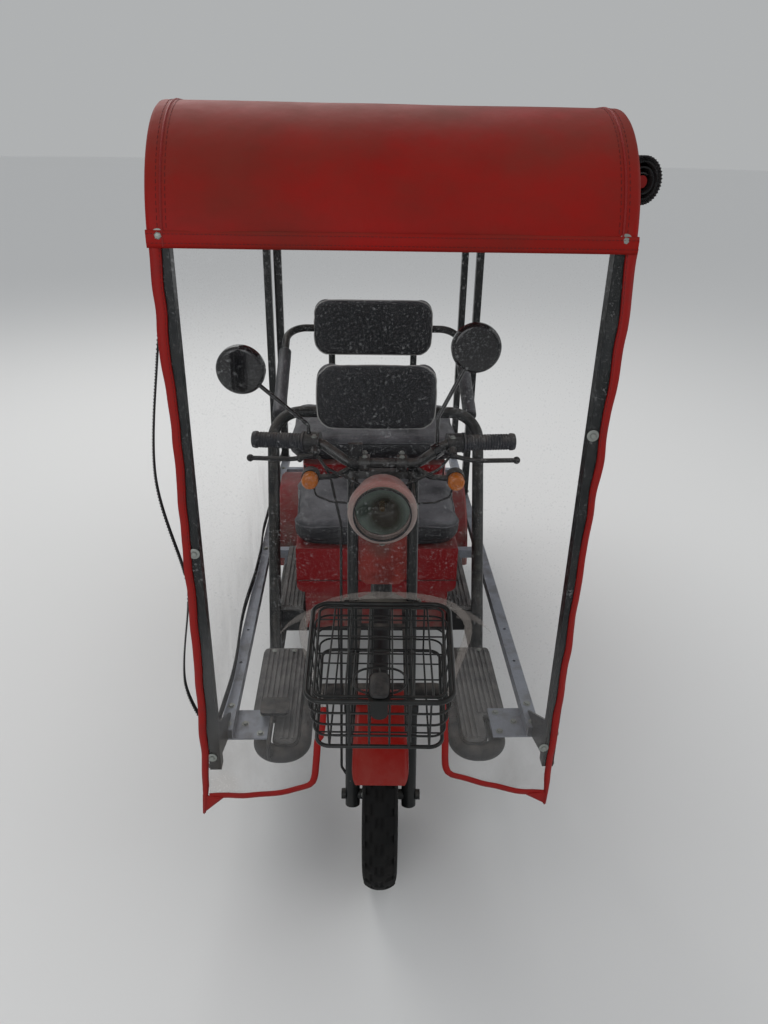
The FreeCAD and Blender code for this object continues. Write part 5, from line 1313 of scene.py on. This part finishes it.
def build_indicators():
    """Ribs on the domed amber lenses."""
    ribs = Batch()
    for s in (-1, 1):
        c = Vector((s * LENS_X, LENS_Y - 0.018, LENS_Z))
        for r, d in ((0.0168, 0.004), (0.0158, -0.001), (0.0135, -0.0045), (0.0100, -0.0062),
                     (0.0055, -0.0072)):
            ribs.tube(circle(c + Y * d, X, Z, r, 32), 0.0008, 5, closed=True)
    place(ribs.made("indicator_ribs", "amber"), "steering", "amber")


def build_basket_trim():
    """A plastic button on the latch and weld beads on the hinge's bar."""
    latch, beads = Batch(), Batch()

    def squarish(v):
        return math.copysign(abs(v) ** 0.5, v)

    # (half width, half depth, height) up the button
    rows = []
    for w, d, h in ((0.0150, 0.030, 0.0005), (0.0162, 0.032, 0.0030), (0.0150, 0.030, 0.0062),
                    (0.010, 0.020, 0.0082), (0.002, 0.004, 0.0086)):
        rows.append([Vector((w * squarish(math.cos(a)), -1.079 + d * squarish(math.sin(a)), 0.7935 + h))
                     for a in (2 * math.pi * i / 24 for i in range(24))])
    latch.rows(rows, caps=True)
    place(latch.made("latch_cap", "black_plastic"), "lid", "black_wire")
    for x in (-0.067, 0.067):
        beads.tube([(x + dx, -0.8175, z) for dx, z in ((-0.010, 0.7792), (-0.004, 0.7782), (0.004, 0.7782),
                                                       (0.010, 0.7792))], 0.0020, 6)
    place(beads.made("hinge_beads", "black_wire"), "steering", "black_wire")


def build_body_trim():
    """Mat screws, spring clamps, tail lamp ribs, seams and a welt on the red panels."""
    screws, clamps, ribs, seams = (Batch() for _ in range(4))
    for s in (-1, 1):
        for x, y, z in ((0.288, -0.590, 0.2972), (0.288, -0.300, 0.2972), (0.232, -0.300, 0.2972),
                        (0.232, -0.140, 0.3490), (0.270, 0.180, 0.3490)):
            screws.bolt((s * x, y, z), Z, 0.0045, 0.0028)
        for y in (0.535, 0.605):
            clamps.tube([(s * 0.205 + dx, y, z) for dx, z in
                         ((-0.026, 0.300), (-0.026, 0.215), (-0.012, 0.196),
                          (0.012, 0.196), (0.026, 0.215), (0.026, 0.300))], 0.0045, 8)
        for z in (0.519 + 0.0092 * k for k in range(6)):
            ribs.tube([(s * 0.122, 0.8882, z), (s * 0.210, 0.8882, z)], 0.0010, 6)
        for z in (0.430, 0.515):
            seams.tube([(s * 0.2353, 0.262, z), (s * 0.2353, 0.420, z)], 0.0016, 6)
    seams.tube([(-0.236, -0.1575, 0.440), (-0.120, -0.1580, 0.440), (0.120, -0.1580, 0.440),
                (0.236, -0.1575, 0.440)], 0.0016, 6)
    for batch, name, finish, slot in ((screws, "mat_screws", "bolt", "grey_rubber"),
                                      (clamps, "spring_clamps", "bolt", "black_steel"),
                                      (ribs, "tail_lamp_ribs", "red_lens", "red_lens"),
                                      (seams, "panel_seams", "dark_seam", "red_plastic")):
        place(batch.made(name, finish), "vehicle", slot)


# Camera and light

def plain_material(name, color, rough):
    """A flat studio surface."""
    m = bpy.data.materials.new(name)
    m.use_nodes = True
    p = m.node_tree.nodes["Principled BSDF"]
    p.inputs["Base Color"].default_value = (*color, 1.0)
    p.inputs["Roughness"].default_value = rough
    return m


def build_stage():
    """Wide pale floor under an even sky, a large light above and behind, and two low fills."""
    MAT["stage_pale"] = plain_material("stage_pale", (0.66, 0.655, 0.645), 0.9)
    reach = 60.0
    turns = [math.radians(6 * k) for k in range(60)]
    rim = [(reach * math.cos(a), reach * math.sin(a), -0.0005) for a in turns]
    mesh_object("stage_floor", rim, [tuple(range(len(rim)))], "stage_pale", smooth=False)
    world = bpy.data.worlds.new("studio")
    bpy.context.scene.world = world
    world.use_nodes = True
    tree = world.node_tree
    sky, seen = tree.nodes["Background"], tree.nodes.new("ShaderNodeBackground")
    sky.inputs["Color"].default_value = (0.90, 0.93, 0.96, 1)
    sky.inputs["Strength"].default_value = 0.66
    seen.inputs["Color"].default_value = (0.43, 0.44, 0.445, 1)
    rays = tree.nodes.new("ShaderNodeLightPath")
    shown = rays.outputs["Is Camera Ray"]
    for kind in ("Is Transmission Ray", "Is Glossy Ray"):
        either = tree.nodes.new("ShaderNodeMath")
        either.operation = "MAXIMUM"
        tree.links.new(shown, either.inputs[0])
        tree.links.new(rays.outputs[kind], either.inputs[1])
        shown = either.outputs[0]
    mix = tree.nodes.new("ShaderNodeMixShader")
    for source, target in ((shown, mix.inputs[0]), (sky.outputs[0], mix.inputs[1]),
                           (seen.outputs[0], mix.inputs[2]),
                           (mix.outputs[0], tree.nodes["World Output"].inputs["Surface"])):
        tree.links.new(source, target)
    lamps = (("top_light", (-1.2, 2.6, 4.6), (0.0, -0.1, 0.7), 4.0, 120, (1.0, 0.99, 0.97)),
             ("front_fill", (-1.6, -4.6, 2.2), (0.0, 0.0, 0.6), 3.0, 46, (0.97, 0.98, 1.0)),
             ("side_fill", (3.8, -1.2, 2.6), (0.0, 0.0, 0.6), 3.0, 22, (1.0, 1.0, 1.0)))
    for name, where, towards, size, power, color in lamps:
        lamp = bpy.data.lights.new(name, "AREA")
        lamp.size, lamp.energy, lamp.color = size, power, color
        o = bpy.data.objects.new(name, lamp)
        bpy.context.scene.collection.objects.link(o)
        aim = (Vector(towards) - Vector(where)).to_track_quat("-Z", "Y").to_matrix().to_4x4()
        o.matrix_world = Matrix.Translation(where) @ aim


def build_camera():
    """The photo's camera: 26 degrees down, turned 2.3 degrees and rolled 1.1 degrees."""
    pitch, yaw, roll = math.radians(26.0), math.radians(2.3), math.radians(1.1)
    look = Vector((math.sin(yaw) * math.cos(pitch), math.cos(yaw) * math.cos(pitch), -math.sin(pitch)))
    right = look.cross(Z).normalized()
    up = right.cross(look)
    r = right * math.cos(roll) + up * math.sin(roll)
    u = up * math.cos(roll) - right * math.sin(roll)
    data = bpy.data.cameras.new("photo_camera")
    data.sensor_width = 36.0
    data.lens = 36.0 * 769.0 / 1024.0
    data.clip_start = 0.05
    o = bpy.data.objects.new("photo_camera", data)
    bpy.context.scene.collection.objects.link(o)
    o.matrix_world = Matrix.Translation((-0.060, -2.08, 1.6)) @ Matrix((r, u, -look)).transposed().to_4x4()
    bpy.context.scene.camera = o


dress_nodes()
build_camera()
build_stage()
build_canopy_bars()
build_roof()
build_screen()
build_curtain()
build_roll()
build_tyres()
build_cushions()
build_arm_rests()
build_bolts()
build_grips()
build_mirrors()
build_lamp()
build_indicators()
build_basket_trim()
build_body_trim()
bpy.context.scene.view_settings.view_transform = "Standard"
